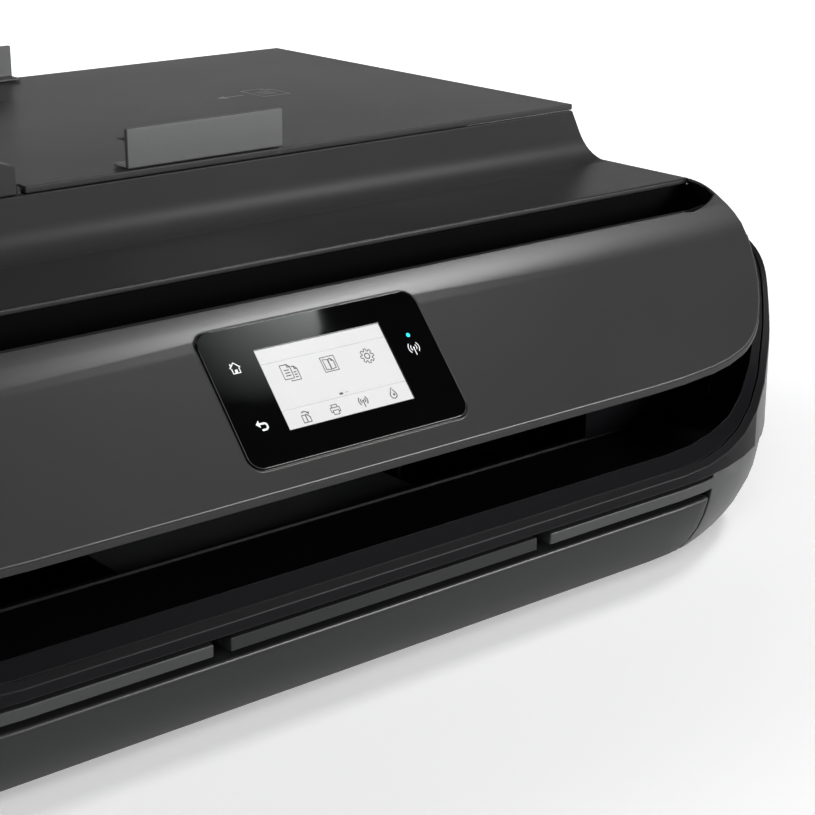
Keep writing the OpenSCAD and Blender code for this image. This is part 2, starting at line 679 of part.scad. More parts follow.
module service_station() color([0.2, 0.2, 0.2]) difference() {
    box([park_x - 38, -24, cross_z + plate_t], [park_x + 38, 29, cross_z + plate_t + 6]);
    box([park_x - 35, -21, cross_z + plate_t + 2], [park_x + 35, 26, cross_z + plate_t + 7]);
}
module cap_sled() color([0.16, 0.16, 0.17]) {
    box([park_x - 34, -20, sled_z], [park_x + 34, 25, sled_z + 3]);
    for (s = [-1, 1]) translate([park_x + s*well_pitch/2, 2, 0]) difference() {
        slab(11, [-18, 18], [sled_z + 2.9, nozzle_z - 0.7]);
        slab(9, [-16, 16], [nozzle_z - 2.5, nozzle_z]);
    }
}
module ink_absorber() color([0.9, 0.9, 0.86])
    box([tray_hw + 9, plate_y0 + 6, floor_z], [plate_x - 4, board_y0 - 10, floor_z + 16]);

// ================================= electronics ==================================================
module power_supply() color([0.25, 0.25, 0.26])
    box([-plate_x + 4, board_y0, floor_z], [-tray_hw - 8, inlet_y0, floor_z + 28.5]);
module power_inlet() color([0.06, 0.06, 0.06]) difference() {
    box([-inlet_x1, inlet_y0, inlet_z0], [-inlet_x0, inlet_y1, inlet_z1]);
    box([-inlet_x1 + 3, inlet_y1 - 12, inlet_z0 + 4.5], [-inlet_x0 - 3, inlet_y1 + 1, inlet_z1 - 4.5]);
}
module main_board() color([0.1, 0.35, 0.2]) {
    difference() {
        union() {
            box([board_x0, board_y0, board_z], [board_x1, board_y1, board_z + board_t]);
            box([port_x0, board_y1 - 11, board_z + board_t - eps], [port_x1, port_y1, port_top]);
        }
        box([port_x0 + 2, port_y1 - 10, board_z + board_t + 1.5], [port_x1 - 2, port_y1 + 1, port_top - 2]);
    }
    w = board_x1 - board_x0;     // the board's parts, in shares of its width
    for (c = [[0.18, 0.22, 0.29, 5], [0.58, 0.54, 0.325, 3], [0.22, 0.8, 0.18, 8], [0.62, 1.2, 0.22, 4]])
        translate([board_x0 + c[0]*w, board_y0 + c[1]*w, board_z + board_t - eps])
            cube([c[2]*w, c[2]*w, c[3]]);
}

module rear_door() color([0.2, 0.2, 0.21]) {
    slab(door_hw, [y_back - wall, y_back], [door_hinge[1], door_z1]);
    across(y_back - door_hinge[0], door_hw, door_hinge);
    across(door_pin_r, door_hw + 3, door_hinge);
    rib_y = turn_at[0] + 14;
    for (i = [-2:2]) let(x = i*door_hw*3/8) along_x(x - 1.5, x + 1.5) difference() {
        translate([rib_y, door_z0 + 1]) square([y_back - wall - rib_y + eps, door_z1 - door_z0 - 6]);
        translate(turn_at) circle(turn_r);
    }
}

// ================================= paper drawer =================================================
module drawer_tray() color([0.12, 0.12, 0.12]) difference() {
    slab(tray_hw, [tray_y0, tray_y1], [tray_z, tray_z + tray_h]);
    slab(tray_hw - tray_t, [tray_y0 + tray_t, tray_y1 - tray_t], [deck_z, far]);
    slab(channel_hw, [-channel_d, channel_d], [tray_z + tray_t, deck_z + 1]);
    slab(20, [tray_y1 - tray_t - 1, tray_y1 + 1], [deck_z + 6, far]);
}
module drawer_front() color([0.24, 0.24, 0.24]) difference() {
    intersection() {
        hull_slices(0, shell_z, seam_h);
        slab(drawer_front_hw, [y_front, tray_y0], [shell_z + 0.2, drawer_front_top]);
    }
    intersection() {
        hull_slices(3, shell_z + 3, seam_h);
        slab(drawer_front_hw - 3, [y_front, tray_y0 + 1], [shell_z + 3, drawer_front_top - 3]);
    }
}

module rack(x0, x1) {                    // teeth towards -Y, pitch line at y = 0, tooth gap at x = 0
    translate([x0, 1.1]) square([x1 - x0, 2.6]);
    for (i = [ceil(x0/rack_pitch + 0.5):floor(x1/rack_pitch - 0.5)]) translate([(i + 0.5)*rack_pitch, 0])
        polygon([[-1, 1.1 + eps], [-0.42, -0.75], [0.42, -0.75], [1, 1.1 + eps]]);
}
module width_guide() {                   // the left guide
    x = -sheet_w/2 - 0.3;
    box([x - 2, -55, deck_z + 0.3], [x, 55, deck_z + 12]);
    box([x - 2, channel_d - 8, rack_z], [x, channel_d - 1, deck_z + 0.4]);
    translate([0, rack_r, rack_z]) linear_extrude(rack_h) rack(x - 1, 22);
}
module left_width_guide() color([0.32, 0.33, 0.34]) width_guide();
module right_width_guide() color([0.32, 0.33, 0.34]) rotate([0, 0, 180]) width_guide();
module guide_pinion() color([0.8, 0.8, 0.78]) translate([0, 0, rack_z]) linear_extrude(rack_h)
    gear_blank(rack_teeth, 90, 1);
module length_guide() color([0.32, 0.33, 0.34]) {
    y = tray_y1 - tray_t - sheet_l - 1;
    slab(18, [y - 2, y], [deck_z + 0.3, deck_z + 12]);
    slab(12, [y - 9, y - 1.9], [deck_z + 0.3, deck_z + 2.3]);
}

// ================================= tray extender ================================================
module tray_extender() color([0.22, 0.22, 0.22]) difference() {
    slab(extender_w/2, [extender_y0 + tip_bar + 0.4, extender_y1], [strip_z, strip_z + extender_t]);
    slab(tip_w/2 + 0.4, [extender_y0, extender_y0 + tip_l + 1], [strip_z + 1.1, strip_z + 3.5]);
}
module extender_tip() color([0.22, 0.22, 0.22]) {
    slab(extender_w/2, [extender_y0, extender_y0 + tip_bar], [strip_z, strip_z + extender_t]);
    slab(tip_w/2, [extender_y0 + tip_bar - eps, extender_y0 + tip_l], [strip_z + 1.4, strip_z + 3.2]);
}

// ================================= print carriage ===============================================
module print_carriage() color([0.13, 0.13, 0.14]) translate([park_x, 0, 0]) difference() {
    union() {
        slab(carriage_w/2, [carriage_y0 - 4, carriage_y1], [nozzle_z, carriage_top]);
        slab(carriage_w/2 - 8, [carriage_y1 - eps, belt_front - 0.4], [74, carriage_top - 3]);
    }
    slab(carriage_w/2 + 1, [carriage_y0 - 5, carriage_y0 + eps], [nozzle_z - 1, nozzle_z + 5]);
    for (s = [-1, 1]) translate([s*well_pitch/2, 0, 0]) {
        slab(well_w/2, [carriage_y0 - 5, carriage_y1 - 3], [nozzle_z + 3, far]);
        slab(10, [-16, 20], [nozzle_z - 1, nozzle_z + 4]);
    }
    across(rod_r + run_gap, far/2, rod_at);
    across(thin_shaft_r + run_gap, carriage_w/2 + 1, latch_at);
}
module cartridge(x) translate([park_x + x, 0, 0]) {
    slab(well_w/2 - 0.4, [carriage_y0 + 1.5, carriage_y1 - 3.4], [nozzle_z + 3, nozzle_z + 33]);
    slab(9.5, [-15.5, 19.5], [nozzle_z, nozzle_z + 3 + eps]);
    slab(well_w/2 - 6, [carriage_y1 - 16, carriage_y1 - 8], [nozzle_z + 33 - eps, nozzle_z + 36]);
}
module black_cartridge() color([0.1, 0.1, 0.1]) cartridge(well_pitch/2);
module colour_cartridge() color([0.2, 0.35, 0.6]) cartridge(-well_pitch/2);
module latch(x) translate([park_x + x, 0, 0]) {
    slab(well_w/2 - 0.4, [latch_at[0] - 1.2, latch_at[0] + 1.2], [latch_at[1] - 1.2, carriage_top - 4]);
    across(thin_shaft_r, well_w/2 + 1.6, latch_at);
}
module left_latch() color([0.3, 0.31, 0.32]) latch(-well_pitch/2);
module right_latch() color([0.3, 0.31, 0.32]) latch(well_pitch/2);

// ================================= scanner unit =================================================
module fascia_profile(t0, t1) {
    inner = fascia_line(t1);
    polygon(concat(fascia_line(t0), [for (i = [len(inner) - 1:-1:0]) inner[i]]));
}

module scoop_end() {
    x0 = fascia_hw - end_curve_l;
    turn = asin((end_curve_l - end_t)/end_curve_r);
    y1 = lid_front - 0.4;
    middle = fascia_line(fascia_t/2);
    intersection() {
        along_x(x0 - 1, fascia_hw) polygon(concat(end_line,
            [for (i = [len(middle) - 1:-1:0]) if (middle[i][0] > roll_end[0] - fascia_t) middle[i]]));
        linear_extrude(far) polygon(concat(trace([x0, roll_end[0]], 0, [[end_curve_r, turn]]),
            [[fascia_hw - end_t, y1], [fascia_hw + 1, y1], [fascia_hw + 1, roll_end[0]]]));
    }
}
module fascia() color([0.24, 0.24, 0.24]) difference() {
    intersection() {
        union() {
            along_x(-fascia_hw, fascia_hw) fascia_profile(0, fascia_t);
            twins() scoop_end();
        }
        fascia_space(0);
    }
    on_face(glass_u, glass_proud - glass_t) linear_extrude(20)
        rounded(glass_w + 2*glass_gap, glass_l + 2*glass_gap, glass_r);
    on_face(glass_u, -5) linear_extrude(20) rounded(glass_w - 8, glass_l - 8, 2);
    on_face(button_u, -10) translate([-button_x, 0, 0]) cylinder(h = 20, r = button_r + 0.3);
}

module front_box_area(top) {
    inner = fascia_line(top);
    n = len(inner);
    polygon(concat([for (i = [0:n - 1]) if (inner[i][0] < tub_y0 + 1) inner[i]],
        [[tub_y0 + 1, inner[n - 1][1]], [tub_y0 + 1, tub_z], lip + [23.9, 1.9], lip + [4.4, 0.4]]));
}
module front_box_void() {
    polygon([lip + [6.5, 2.6], lip + [24.9, 4], [tub_y0 - 1, tub_z + 2.2],
        [tub_y0 - 1, fascia_end[1] - 1.9], lip + [34, 63], lip + [-16, 8], lip + [0, 5]]);
}
module scanner_housing() color([0.15, 0.15, 0.15]) difference() {
    union() {
        difference() {
            translate([0, 0, unit_z]) linear_extrude(unit_rim_h - unit_z) unit_plan(0);
            translate([0, 0, unit_z - 1]) linear_extrude(deck_top - deck_t - unit_z + 1)
                unit_plan(wall, unit_front + wall);
        }
        slab(tub_hw, [tub_y0, tub_y1], [tub_z, deck_top - deck_t + eps]);
        difference() {
            intersection() {
                along_x(-fascia_hw, fascia_hw) front_box_area(fascia_t + 0.3);
                fascia_space(1);
            }
            intersection() {
                along_x(-fascia_hw, fascia_hw) front_box_void();
                fascia_space(3);
            }
        }
        for (s = [-1, 1]) {
            x_rod(lug_r, s*hinge_x - lug_hw, s*hinge_x + lug_hw, unit_hinge);
            box([s*hinge_x - lug_hw, tub_y1 - eps, unit_hinge[1]],
                [s*hinge_x + lug_hw, unit_back, deck_top - deck_t + eps]);
            x_rod(hinge_r, s*hinge_x - lug_hw - 3.2, s*hinge_x + lug_hw + 3.2, unit_hinge);
        }
    }
    translate([0, 0, deck_top]) linear_extrude(far) unit_plan(wall - 0.3, unit_front + wall);
    slab(tub_hw - wall, [tub_y0 + wall, tub_y1 - wall], [tub_z + wall, deck_top - deck_t]);
    translate([0, glass_y, 0]) {
        slab(scan_glass_w/2 + 0.3, around(scan_glass_d/2 + 0.3), [deck_top - scan_glass_t, far]);
        slab(scan_glass_w/2 - 4, around(scan_glass_d/2 - 4), [deck_top - deck_t - 1, far]);
    }
    slab(hw, [lid_hinge[0] - 0.5, y_back], [deck_top, far]);
    for (s = [-1, 1]) {
        box([s*lid_hinge_x - 6, lid_hinge[0] - 5, lid_hinge[1] - 4], [s*lid_hinge_x + 6, y_back, far]);
        x_rod(hinge_r - 1 + run_gap, s*lid_hinge_x - 9, s*lid_hinge_x + 9, lid_hinge);
    }
}
module panel_glass() color([0.02, 0.02, 0.02]) on_face(glass_u, glass_proud - glass_t)
    linear_extrude(glass_t) difference() {
        rounded(glass_w, glass_l, glass_r);
        translate([0, screen_u - glass_u]) square([screen_w, screen_l], center = true);
    }
module screen() color([0.93, 0.93, 0.93]) on_face(screen_u, 0) {
    translate([-screen_w/2 + 0.1, -screen_l/2 + 0.1, glass_proud - glass_t - eps])
        cube([screen_w - 0.2, screen_l - 0.2, glass_t - 0.1]);
    translate([-34, -18.5, glass_proud - glass_t - 5]) cube([68, 37, 5]);
}
module control_board() color([0.1, 0.35, 0.2]) on_face(screen_u, glass_proud - glass_t - 6.6) {
    translate([-40, -13, 0]) cube([80, 34, 1.6]);
    translate([-8, -8, -1.5]) cube([16, 16, 1.6]);
}
module power_button() color([0.3, 0.31, 0.32]) on_face(button_u, 0) translate([-button_x, 0, 0]) {
    translate([0, 0, -fascia_t - 0.3]) cylinder(h = fascia_t + 0.3 + 1.2, r = button_r);
    translate([0, 0, -fascia_t - 2.3]) cylinder(h = 2.01, r = button_r + 1.6);
}
module scanner_glass() color([0.7, 0.85, 0.85, 0.4]) translate([0, glass_y, 0])
    slab(scan_glass_w/2, around(scan_glass_d/2), [deck_top - scan_glass_t, deck_top]);

module scan_bar() color([0.1, 0.1, 0.1]) translate([-scan_travel/2, 0, 0]) difference() {
    bar_y1 = glass_y + scan_glass_d/2 + 4;
    union() {
        slab(bar_w/2, [tub_y0 + wall + 4, bar_y1], [tub_z + 10.2, deck_top - deck_t - 0.4]);
        slab(bar_w/2, [glass_y - 12, glass_y + 12], [tub_z + wall + 0.3, tub_z + 10.3]);
        slab(4, [bar_y1 - eps, scan_belt_y - scan_belt_r - 1.3], [scan_belt_z + 0.5, scan_belt_z + 3.5]);
    }
    across(3 + run_gap, bar_w, [glass_y, scan_rod_z]);
}
module scan_rod() color("silver") x_rod(3, -tub_hw + wall, tub_hw - wall, [glass_y, scan_rod_z]);
module scan_drive() color([0.35, 0.35, 0.34]) translate([0, scan_belt_y, tub_z + wall]) {
    belt_rise = scan_belt_z - tub_z - wall;
    translate([0, 0, belt_rise]) linear_extrude(4) difference() {
        scan_loop(scan_belt_r + 1);
        scan_loop(scan_belt_r);
    }
    translate([-scan_pulley_x, 0, 0]) cylinder(h = 15, r = 8.5);
    for (s = [-1, 1]) translate([s*scan_pulley_x, 0, 0])
        cylinder(h = belt_rise + 4, r = scan_belt_r - 0.01);
}
module scan_loop(r) {
    for (s = [-1, 1]) translate([s*scan_pulley_x, 0]) circle(r);
    translate([-scan_pulley_x, -r]) square([2*scan_pulley_x, 2*r]);
}

// ================================= lid and document feeder ======================================
module lid() color([0.2, 0.2, 0.2]) {
    translate([0, 0, lid_z]) linear_extrude(lid_t) unit_plan(0, lid_front);
    for (s = [-1, 1]) {
        box([s*lid_hinge_x - 5, lid_hinge[0] - 3, lid_hinge[1] - 1],
            [s*lid_hinge_x + 5, lid_hinge[0] + 2.4, lid_z + eps]);
        x_rod(2.4, s*lid_hinge_x - 5, s*lid_hinge_x + 5, lid_hinge);
        x_rod(hinge_r - 1, s*lid_hinge_x - 8.5, s*lid_hinge_x + 8.5, lid_hinge);
    }
}
module lid_pad() color([0.93, 0.93, 0.92]) translate([0, glass_y, 0])
    slab(scan_glass_w/2 - 2, around(scan_glass_d/2 - 2), [deck_top + 0.2, lid_z]);

module feeder_base() color([0.17, 0.17, 0.17]) {
    difference() {
        along_x(-adf_hw, adf_hw) polygon(concat(ramp_line, [[cover_y1, adf_top], [cover_y1, adf_z]]));
        box([divider_x, bay_front, adf_floor], [far, bay_rear, far]);
        box([-adf_hw + wall, bay_front, adf_floor], [divider_x - 2, bay_rear, far]);
        box([divider_x - 5, bay_front, adf_floor + 7], [divider_x + 5, bay_rear, far]);
        for (r = roller_at) y_rod(thin_shaft_r + run_gap, bay_front - 1.6, bay_rear + 1.6, r);
    }
    for (y = cover_ears) {
        y_rod(ear_r, y, y + ear_w, cover_hinge);
        y_rod(ear_pin_r, y - 1.5, y + ear_w + 1.5, cover_hinge);
        box([cover_hinge[0] - ear_r + 0.2, y, adf_top - 2],
            [cover_hinge[0] + ear_r - 0.2, y + ear_w, cover_hinge[1]]);
    }
    for (s = [-1, 1]) translate([0, feeder_mid, 0]) mirror([0, (1 - s)/2, 0]) {
        y = bay_rear - feeder_mid;
        y_rod(tray_edge_r, y - 3, y, feeder_tray_hinge);
        y_rod(ear_pin_r - 0.1, y - 5, y - 3 + eps, feeder_tray_hinge);
        box([feeder_tray_hinge[0] - tray_edge_r + 0.2, y - 3, adf_top - 8],
            [feeder_tray_hinge[0] + tray_edge_r - 0.2, y + 0.5, feeder_tray_hinge[1]]);
    }
}
module cover_block(t) {                  // the cover's space, drawn in by t
    translate([0, cover_y1 - t, 0]) rotate([90, 0, 0]) linear_extrude(cover_y1 - ramp_top - 2*t)
        polygon(cover_line(t));
}
module feeder_cover() color([0.2, 0.2, 0.2]) difference() {
    union() {
        difference() {
            cover_block(0);
            cover_block(wall);
            translate([0, 0, -1]) cover_block(wall);
            box([-cover_edge - 10, bay_front, cover_z - 1], [-cover_edge + 1, bay_rear, cover_z + 6.5]);
            box([cover_x0 - 1, ramp_top - 1, cover_z - 1], [cover_hinge[0], far, cover_hinge[1]]);
        }
        y_rod(cover_edge_r, ramp_top, cover_y1, cover_hinge);
    }
    for (y = cover_ears) {
        y_rod(ear_pin_r + run_gap, y - 2, y + ear_w + 2, cover_hinge);
        box([cover_x0 - 1, y - 0.3, cover_z - 1],
            [cover_hinge[0] + cover_edge_r + 0.5, y + ear_w + 0.3, cover_hinge[1] + 2.4]);
    }
}
module feeder_spindle(at) {
    y_rod(thin_shaft_r, bay_front - 1.5, bay_rear + 1.5, at);
    for (y = [-60, 0, 60]) y_rod(adf_roller_r, feeder_mid + y - 9, feeder_mid + y + 9, at);
}
module feeder_roller() color([0.12, 0.12, 0.12]) feeder_spindle(roller_at[0]);
module feeder_pickup() color([0.12, 0.12, 0.12]) feeder_spindle(roller_at[1]);

module feeder_tray() color([0.2, 0.2, 0.2]) difference() {
    union() {
        box([feeder_tray_hinge[0], ramp_top + 0.2, cover_z], [adf_hw, cover_y1, cover_z + 2*tray_edge_r]);
        y_rod(tray_edge_r, ramp_top + 0.2, cover_y1, feeder_tray_hinge);
    }
    for (s = [-1, 1]) translate([0, feeder_mid, 0]) mirror([0, (1 - s)/2, 0]) {
        y = bay_rear - feeder_mid;
        box([guide_x0, guide_base - guide_travel - 1, cover_z - 1], [guide_x0 + 6, guide_foot + 0.4, far]);
        box([-cover_edge - 1, y - 3.3, cover_z - 1],
            [feeder_tray_hinge[0] + tray_edge_r + 0.3, y + 5, far]);
        y_rod(ear_pin_r - 0.1 + run_gap, y - 5.5, y, feeder_tray_hinge);
    }
}
module feeder_guide() {                  // rear guide, about the tray's middle line
    z = cover_z + 2*tray_edge_r + 0.3;
    box([guide_x0 - 30, guide_y, z], [guide_x0 + 40, guide_y + 2, z + 15]);
    box([guide_x0 - 30, guide_base, z], [guide_x0 + 40, guide_y + 0.1, z + 1.2]);
    box([guide_x0 + 0.3, guide_base, cover_z - 1.2], [guide_x0 + 5.7, guide_foot, z + 0.1]);
    box([guide_x0 - 2, guide_base, cover_z - 2.4], [guide_x0 + 8, guide_foot, cover_z - 0.3]);
}
module feeder_guide_front() color([0.26, 0.26, 0.27]) translate([0, feeder_mid, 0])
    mirror([0, 1, 0]) feeder_guide();
module feeder_guide_rear() color([0.26, 0.26, 0.27]) translate([0, feeder_mid, 0]) feeder_guide();

lower_shell();
middle_shell();
output_bowl();
rubber_feet();
chassis_frame();
carriage_rod();
encoder_strip();
carriage_belt();
carriage_motor();
drive_pulley();
idler_pulley();
platen();
feed_roller();
pinch_rollers();
output_roller();
star_wheels();
idler_gear();
pickup_roller();
feed_motor();
motor_pinion();
paper_guide();
service_station();
cap_sled();
ink_absorber();
power_supply();
power_inlet();
main_board();
rear_door();
power_button();
drawer_tray();
drawer_front();
left_width_guide();
right_width_guide();
length_guide();
guide_pinion();
tray_extender();
extender_tip();
print_carriage();
black_cartridge();
colour_cartridge();
left_latch();
right_latch();
scanner_housing();
fascia();
panel_glass();
screen();
control_board();
scanner_glass();
scan_bar();
scan_rod();
scan_drive();
lid();
lid_pad();
feeder_base();
feeder_cover();
feeder_roller();
feeder_pickup();
feeder_tray();
feeder_guide_front();
feeder_guide_rear();
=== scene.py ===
import json
import math

import bmesh
import bpy
from mathutils import Matrix, Vector


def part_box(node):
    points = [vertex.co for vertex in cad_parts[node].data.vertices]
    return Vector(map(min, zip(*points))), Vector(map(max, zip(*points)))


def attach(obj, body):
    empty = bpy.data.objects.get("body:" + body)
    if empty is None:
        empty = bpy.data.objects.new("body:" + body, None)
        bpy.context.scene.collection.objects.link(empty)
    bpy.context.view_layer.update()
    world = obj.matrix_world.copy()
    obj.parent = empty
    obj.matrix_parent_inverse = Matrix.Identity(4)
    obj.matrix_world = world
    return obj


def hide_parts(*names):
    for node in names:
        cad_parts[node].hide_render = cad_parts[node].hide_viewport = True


bl_info = {
    "name": "Inkjet printer dressing",
    "version": (1, 0, 0),
    "blender": (4, 5, 0),
    "location": "View3D > Sidebar > Printer",
    "description": "Finishes, marks and fittings for the inkjet printer frame, with its stage",
    "category": "Object",
}

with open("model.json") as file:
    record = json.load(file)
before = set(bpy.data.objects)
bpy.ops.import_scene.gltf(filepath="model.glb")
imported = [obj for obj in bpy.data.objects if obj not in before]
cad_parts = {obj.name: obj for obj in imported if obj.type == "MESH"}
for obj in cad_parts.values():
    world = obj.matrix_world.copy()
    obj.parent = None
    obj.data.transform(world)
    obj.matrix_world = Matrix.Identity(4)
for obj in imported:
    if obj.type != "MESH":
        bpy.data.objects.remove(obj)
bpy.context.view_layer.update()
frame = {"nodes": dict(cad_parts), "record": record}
NODES = frame["nodes"]
BODY_OF = {
    node: body
    for body, nodes in frame["record"]["behaviour"]["bodies"].items()
    for node in nodes
}
SLOT_OF = {part["node"]: part["material_slot"] for part in frame["record"]["subparts"]}
MM = 0.001
MERGE_GAP = 2e-6
FLAT_ANGLE = math.radians(0.4)
CREASE = math.radians(32)
QUARTER_TURN = math.pi / 2


# ---------------------------------------------------------------- settings


def colour_setting(name, description, default):
    return bpy.props.FloatVectorProperty(
        name=name,
        description=description,
        default=default,
        size=3,
        min=0,
        max=1,
        subtype="COLOR",
    )


def number_setting(name, description, default, **kind):
    return bpy.props.FloatProperty(name=name, description=description, default=default, **kind)


def length_setting(name, description, default):
    return number_setting(name, description, default, unit="LENGTH")


def turn_setting(name, description, degrees):
    return number_setting(name, description, math.radians(degrees), unit="ROTATION")


def power_setting(name, description, default):
    return number_setting(name, description, default, unit="POWER")


def share_setting(name, description, default):
    return number_setting(name, description, default, min=0, max=1, subtype="FACTOR")


class ShellSettings(bpy.types.PropertyGroup):
    grey: colour_setting(
        "Shell grey", "Moulded colour of the lower shell and drawer", (0.033, 0.0345, 0.034)
    )
    dark: colour_setting(
        "Shell dark", "Moulded colour of the middle and scanner shells", (0.0068, 0.0065, 0.0076)
    )
    fascia: colour_setting(
        "Fascia grey", "Moulded colour of the control fascia", (0.034, 0.034, 0.034)
    )
    lid: colour_setting(
        "Lid grey", "Moulded colour of the lid and feeder", (0.034, 0.034, 0.0345)
    )
    bowl: colour_setting(
        "Bowl black", "Moulded colour of the output bowl", (0.0048, 0.0045, 0.0056)
    )
    roughness: share_setting("Roughness", "How matt the moulded grain is", 0.40)
    grain_size: length_setting("Grain size", "Width of one moulded grain", 0.00045)
    grain_depth: length_setting("Grain depth", "Depth of the moulded grain", 0.000012)
    soft_edge: length_setting("Edge round", "Round on the outer edges", 0.0006)
    roll_edge: length_setting("Roll round", "Round on the fascia's edges", 0.0009)
    full_edge: length_setting("Full edge", "Edge radius of the drawer front", 0.0011)
    fine_edge: length_setting("Fine edge round", "Round on thin and inner parts", 0.0003)


class PanelSettings(bpy.types.PropertyGroup):
    tilt: turn_setting("Panel tilt", "Slope of the control panel from the horizontal", 48.5)
    mark_white: colour_setting("Mark white", "Printed marks on the glass", (0.83, 0.84, 0.85))
    lamp_colour: colour_setting("Lamp colour", "Wireless lamp", (0.02, 0.62, 0.80))
    icon_line: length_setting("Icon line", "Width of the lines of the icons", 0.00040)
    icon_grey: colour_setting("Icon grey", "Lines of the icons", (0.075, 0.075, 0.08))
    screen_white: colour_setting("Screen white", "Lit screen", (0.84, 0.84, 0.84))
    lip_height: length_setting("Lip height", "Height of the fascia's turned down lip", 0.0026)
    lip_wall: length_setting("Lip wall", "Thickness of the fascia's lip", 0.0014)
    scoop_depth: length_setting("Scoop depth", "Depth of the black scoop before the lid", 0.0226)


class StageSettings(bpy.types.PropertyGroup):
    floor_radius: length_setting("Floor radius", "Half width of the pale floor", 2.6)
    wall_height: length_setting("Wall height", "Height of the pale wall round the floor", 0.7)
    wall_bend: length_setting("Wall bend", "Radius between the floor and the wall", 0.35)
    floor_colour: colour_setting("Floor colour", "Colour of floor and wall", (0.88, 0.88, 0.88))
    floor_glow: share_setting(
        "Floor white", "How much the far floor is lifted to white where it is seen", 0.85
    )
    world_level: number_setting(
        "Room light", "Level of the even light from all sides", 0.02, min=0
    )
    key_power: power_setting("Key lamp", "Power of the front softbox", 14)
    strip_power: power_setting("Strip lamp", "Power of the narrow lamp overhead", 13)
    side_power: power_setting("Side lamp", "Power of the low softbox on the right", 30)
    rear_power: power_setting("Rear lamp", "Power of the softbox behind", 18)
    card_power: power_setting("Card lamp", "Power of the small card over the panel", 0.26)
    card_turn: turn_setting("Card turn", "Turn of the card about its aim", -53)
    camera_place: bpy.props.FloatVectorProperty(
        name="Camera place",
        description="Where the camera stands",
        default=(-0.382, -0.653, 0.3016),
        size=3,
        subtype="TRANSLATION",
        unit="LENGTH",
    )
    camera_yaw: turn_setting("Camera yaw", "Turn of the camera from straight behind", 39.485)
    camera_pitch: turn_setting("Camera pitch", "How far the camera looks down", 18.456)
    camera_lens: number_setting(
        "Camera lens", "Focal length in millimetres for a 36 mm sensor", 88.0
    )


def shell_settings():
    return bpy.context.scene.printer_shell


def panel_settings():
    return bpy.context.scene.printer_panel


def stage_settings():
    return bpy.context.scene.printer_stage


# ------------------------------------------------------- shared node groups


class NodeBench:
    """Short hands for laying out one node tree."""

    def __init__(self, tree):
        self.tree = tree

    def node(self, kind, **values):
        node = self.tree.nodes.new("ShaderNode" + kind)
        for key, value in values.items():
            setattr(node, key, value)
        return node

    def join(self, start, end):
        self.tree.links.new(start, end)

    def put(self, value, socket):
        """Joins a value that comes from a node, or sets a plain one on the socket."""
        if isinstance(value, bpy.types.NodeSocket):
            self.join(value, socket)
        elif socket.type == "RGBA":
            socket.default_value = (*value, 1)
        else:
            socket.default_value = value

    def math(self, operation, a, b):
        node = self.node("Math", operation=operation)
        for socket, value in zip(node.inputs, (a, b)):
            self.put(value, socket)
        return node.outputs[0]

    def add(self, a, b):
        return self.math("ADD", a, b)

    def minus(self, a, b):
        return self.math("SUBTRACT", a, b)

    def times(self, a, b):
        return self.math("MULTIPLY", a, b)

    def vector(self, operation, **inputs):
        """Outputs of a vector node whose inputs are given as a, b or Scale."""
        node = self.node("VectorMath", operation=operation)
        for key, value in inputs.items():
            self.put(value, node.inputs[{"a": 0, "b": 1}.get(key, key)])
        return node.outputs

    def axes(self, vector):
        node = self.node("SeparateXYZ")
        self.join(vector, node.inputs[0])
        return node.outputs

    def noise(self, vector, scale, detail=2.0, roughness=0.5, distortion=0.0):
        node = self.node("TexNoise", noise_dimensions="3D")
        self.join(vector, node.inputs["Vector"])
        for name, value in (
            ("Scale", scale),
            ("Detail", detail),
            ("Roughness", roughness),
            ("Distortion", distortion),
        ):
            self.put(value, node.inputs[name])
        return node.outputs["Fac"]

    def span(self, value, low, high, to_low=0.0, to_high=1.0):
        """Value between low and high, stretched to lie between to_low and to_high."""
        node = self.node("MapRange", clamp=True)
        for name, amount in (
            ("Value", value),
            ("From Min", low),
            ("From Max", high),
            ("To Min", to_low),
            ("To Max", to_high),
        ):
            self.put(amount, node.inputs[name])
        return node.outputs["Result"]

    def blend(self, factor, a, b):
        node = self.node("Mix", data_type="RGBA", blend_type="MIX")
        for name, kind, value in (("Factor", "VALUE", factor), ("A", "RGBA", a), ("B", "RGBA", b)):
            socket = next(s for s in node.inputs if s.name == name and s.type == kind)
            self.put(value, socket)
        return next(s for s in node.outputs if s.type == "RGBA")

    def scaled(self, vector, scale):
        node = self.node("Mapping", vector_type="POINT")
        node.inputs["Scale"].default_value = scale
        self.join(vector, node.inputs["Vector"])
        return node.outputs["Vector"]


FLOAT, VECTOR, COLOUR = "NodeSocketFloat", "NodeSocketVector", "NodeSocketColor"
MID_GREY = (0.5, 0.5, 0.5, 1)


def new_group(name, inputs, outputs):
    """Bench for a node group that takes a Vector and the inputs, with its two ends."""
    tree = bpy.data.node_groups.new(name, "ShaderNodeTree")
    for label, kind, default in [("Vector", VECTOR, None), *inputs]:
        socket = tree.interface.new_socket(label, in_out="INPUT", socket_type=kind)
        if default is not None:
            socket.default_value = default
    for label, kind in outputs:
        tree.interface.new_socket(label, in_out="OUTPUT", socket_type=kind)
    given = tree.nodes.new("NodeGroupInput")
    out = tree.nodes.new("NodeGroupOutput")
    return NodeBench(tree), given.outputs, out.inputs


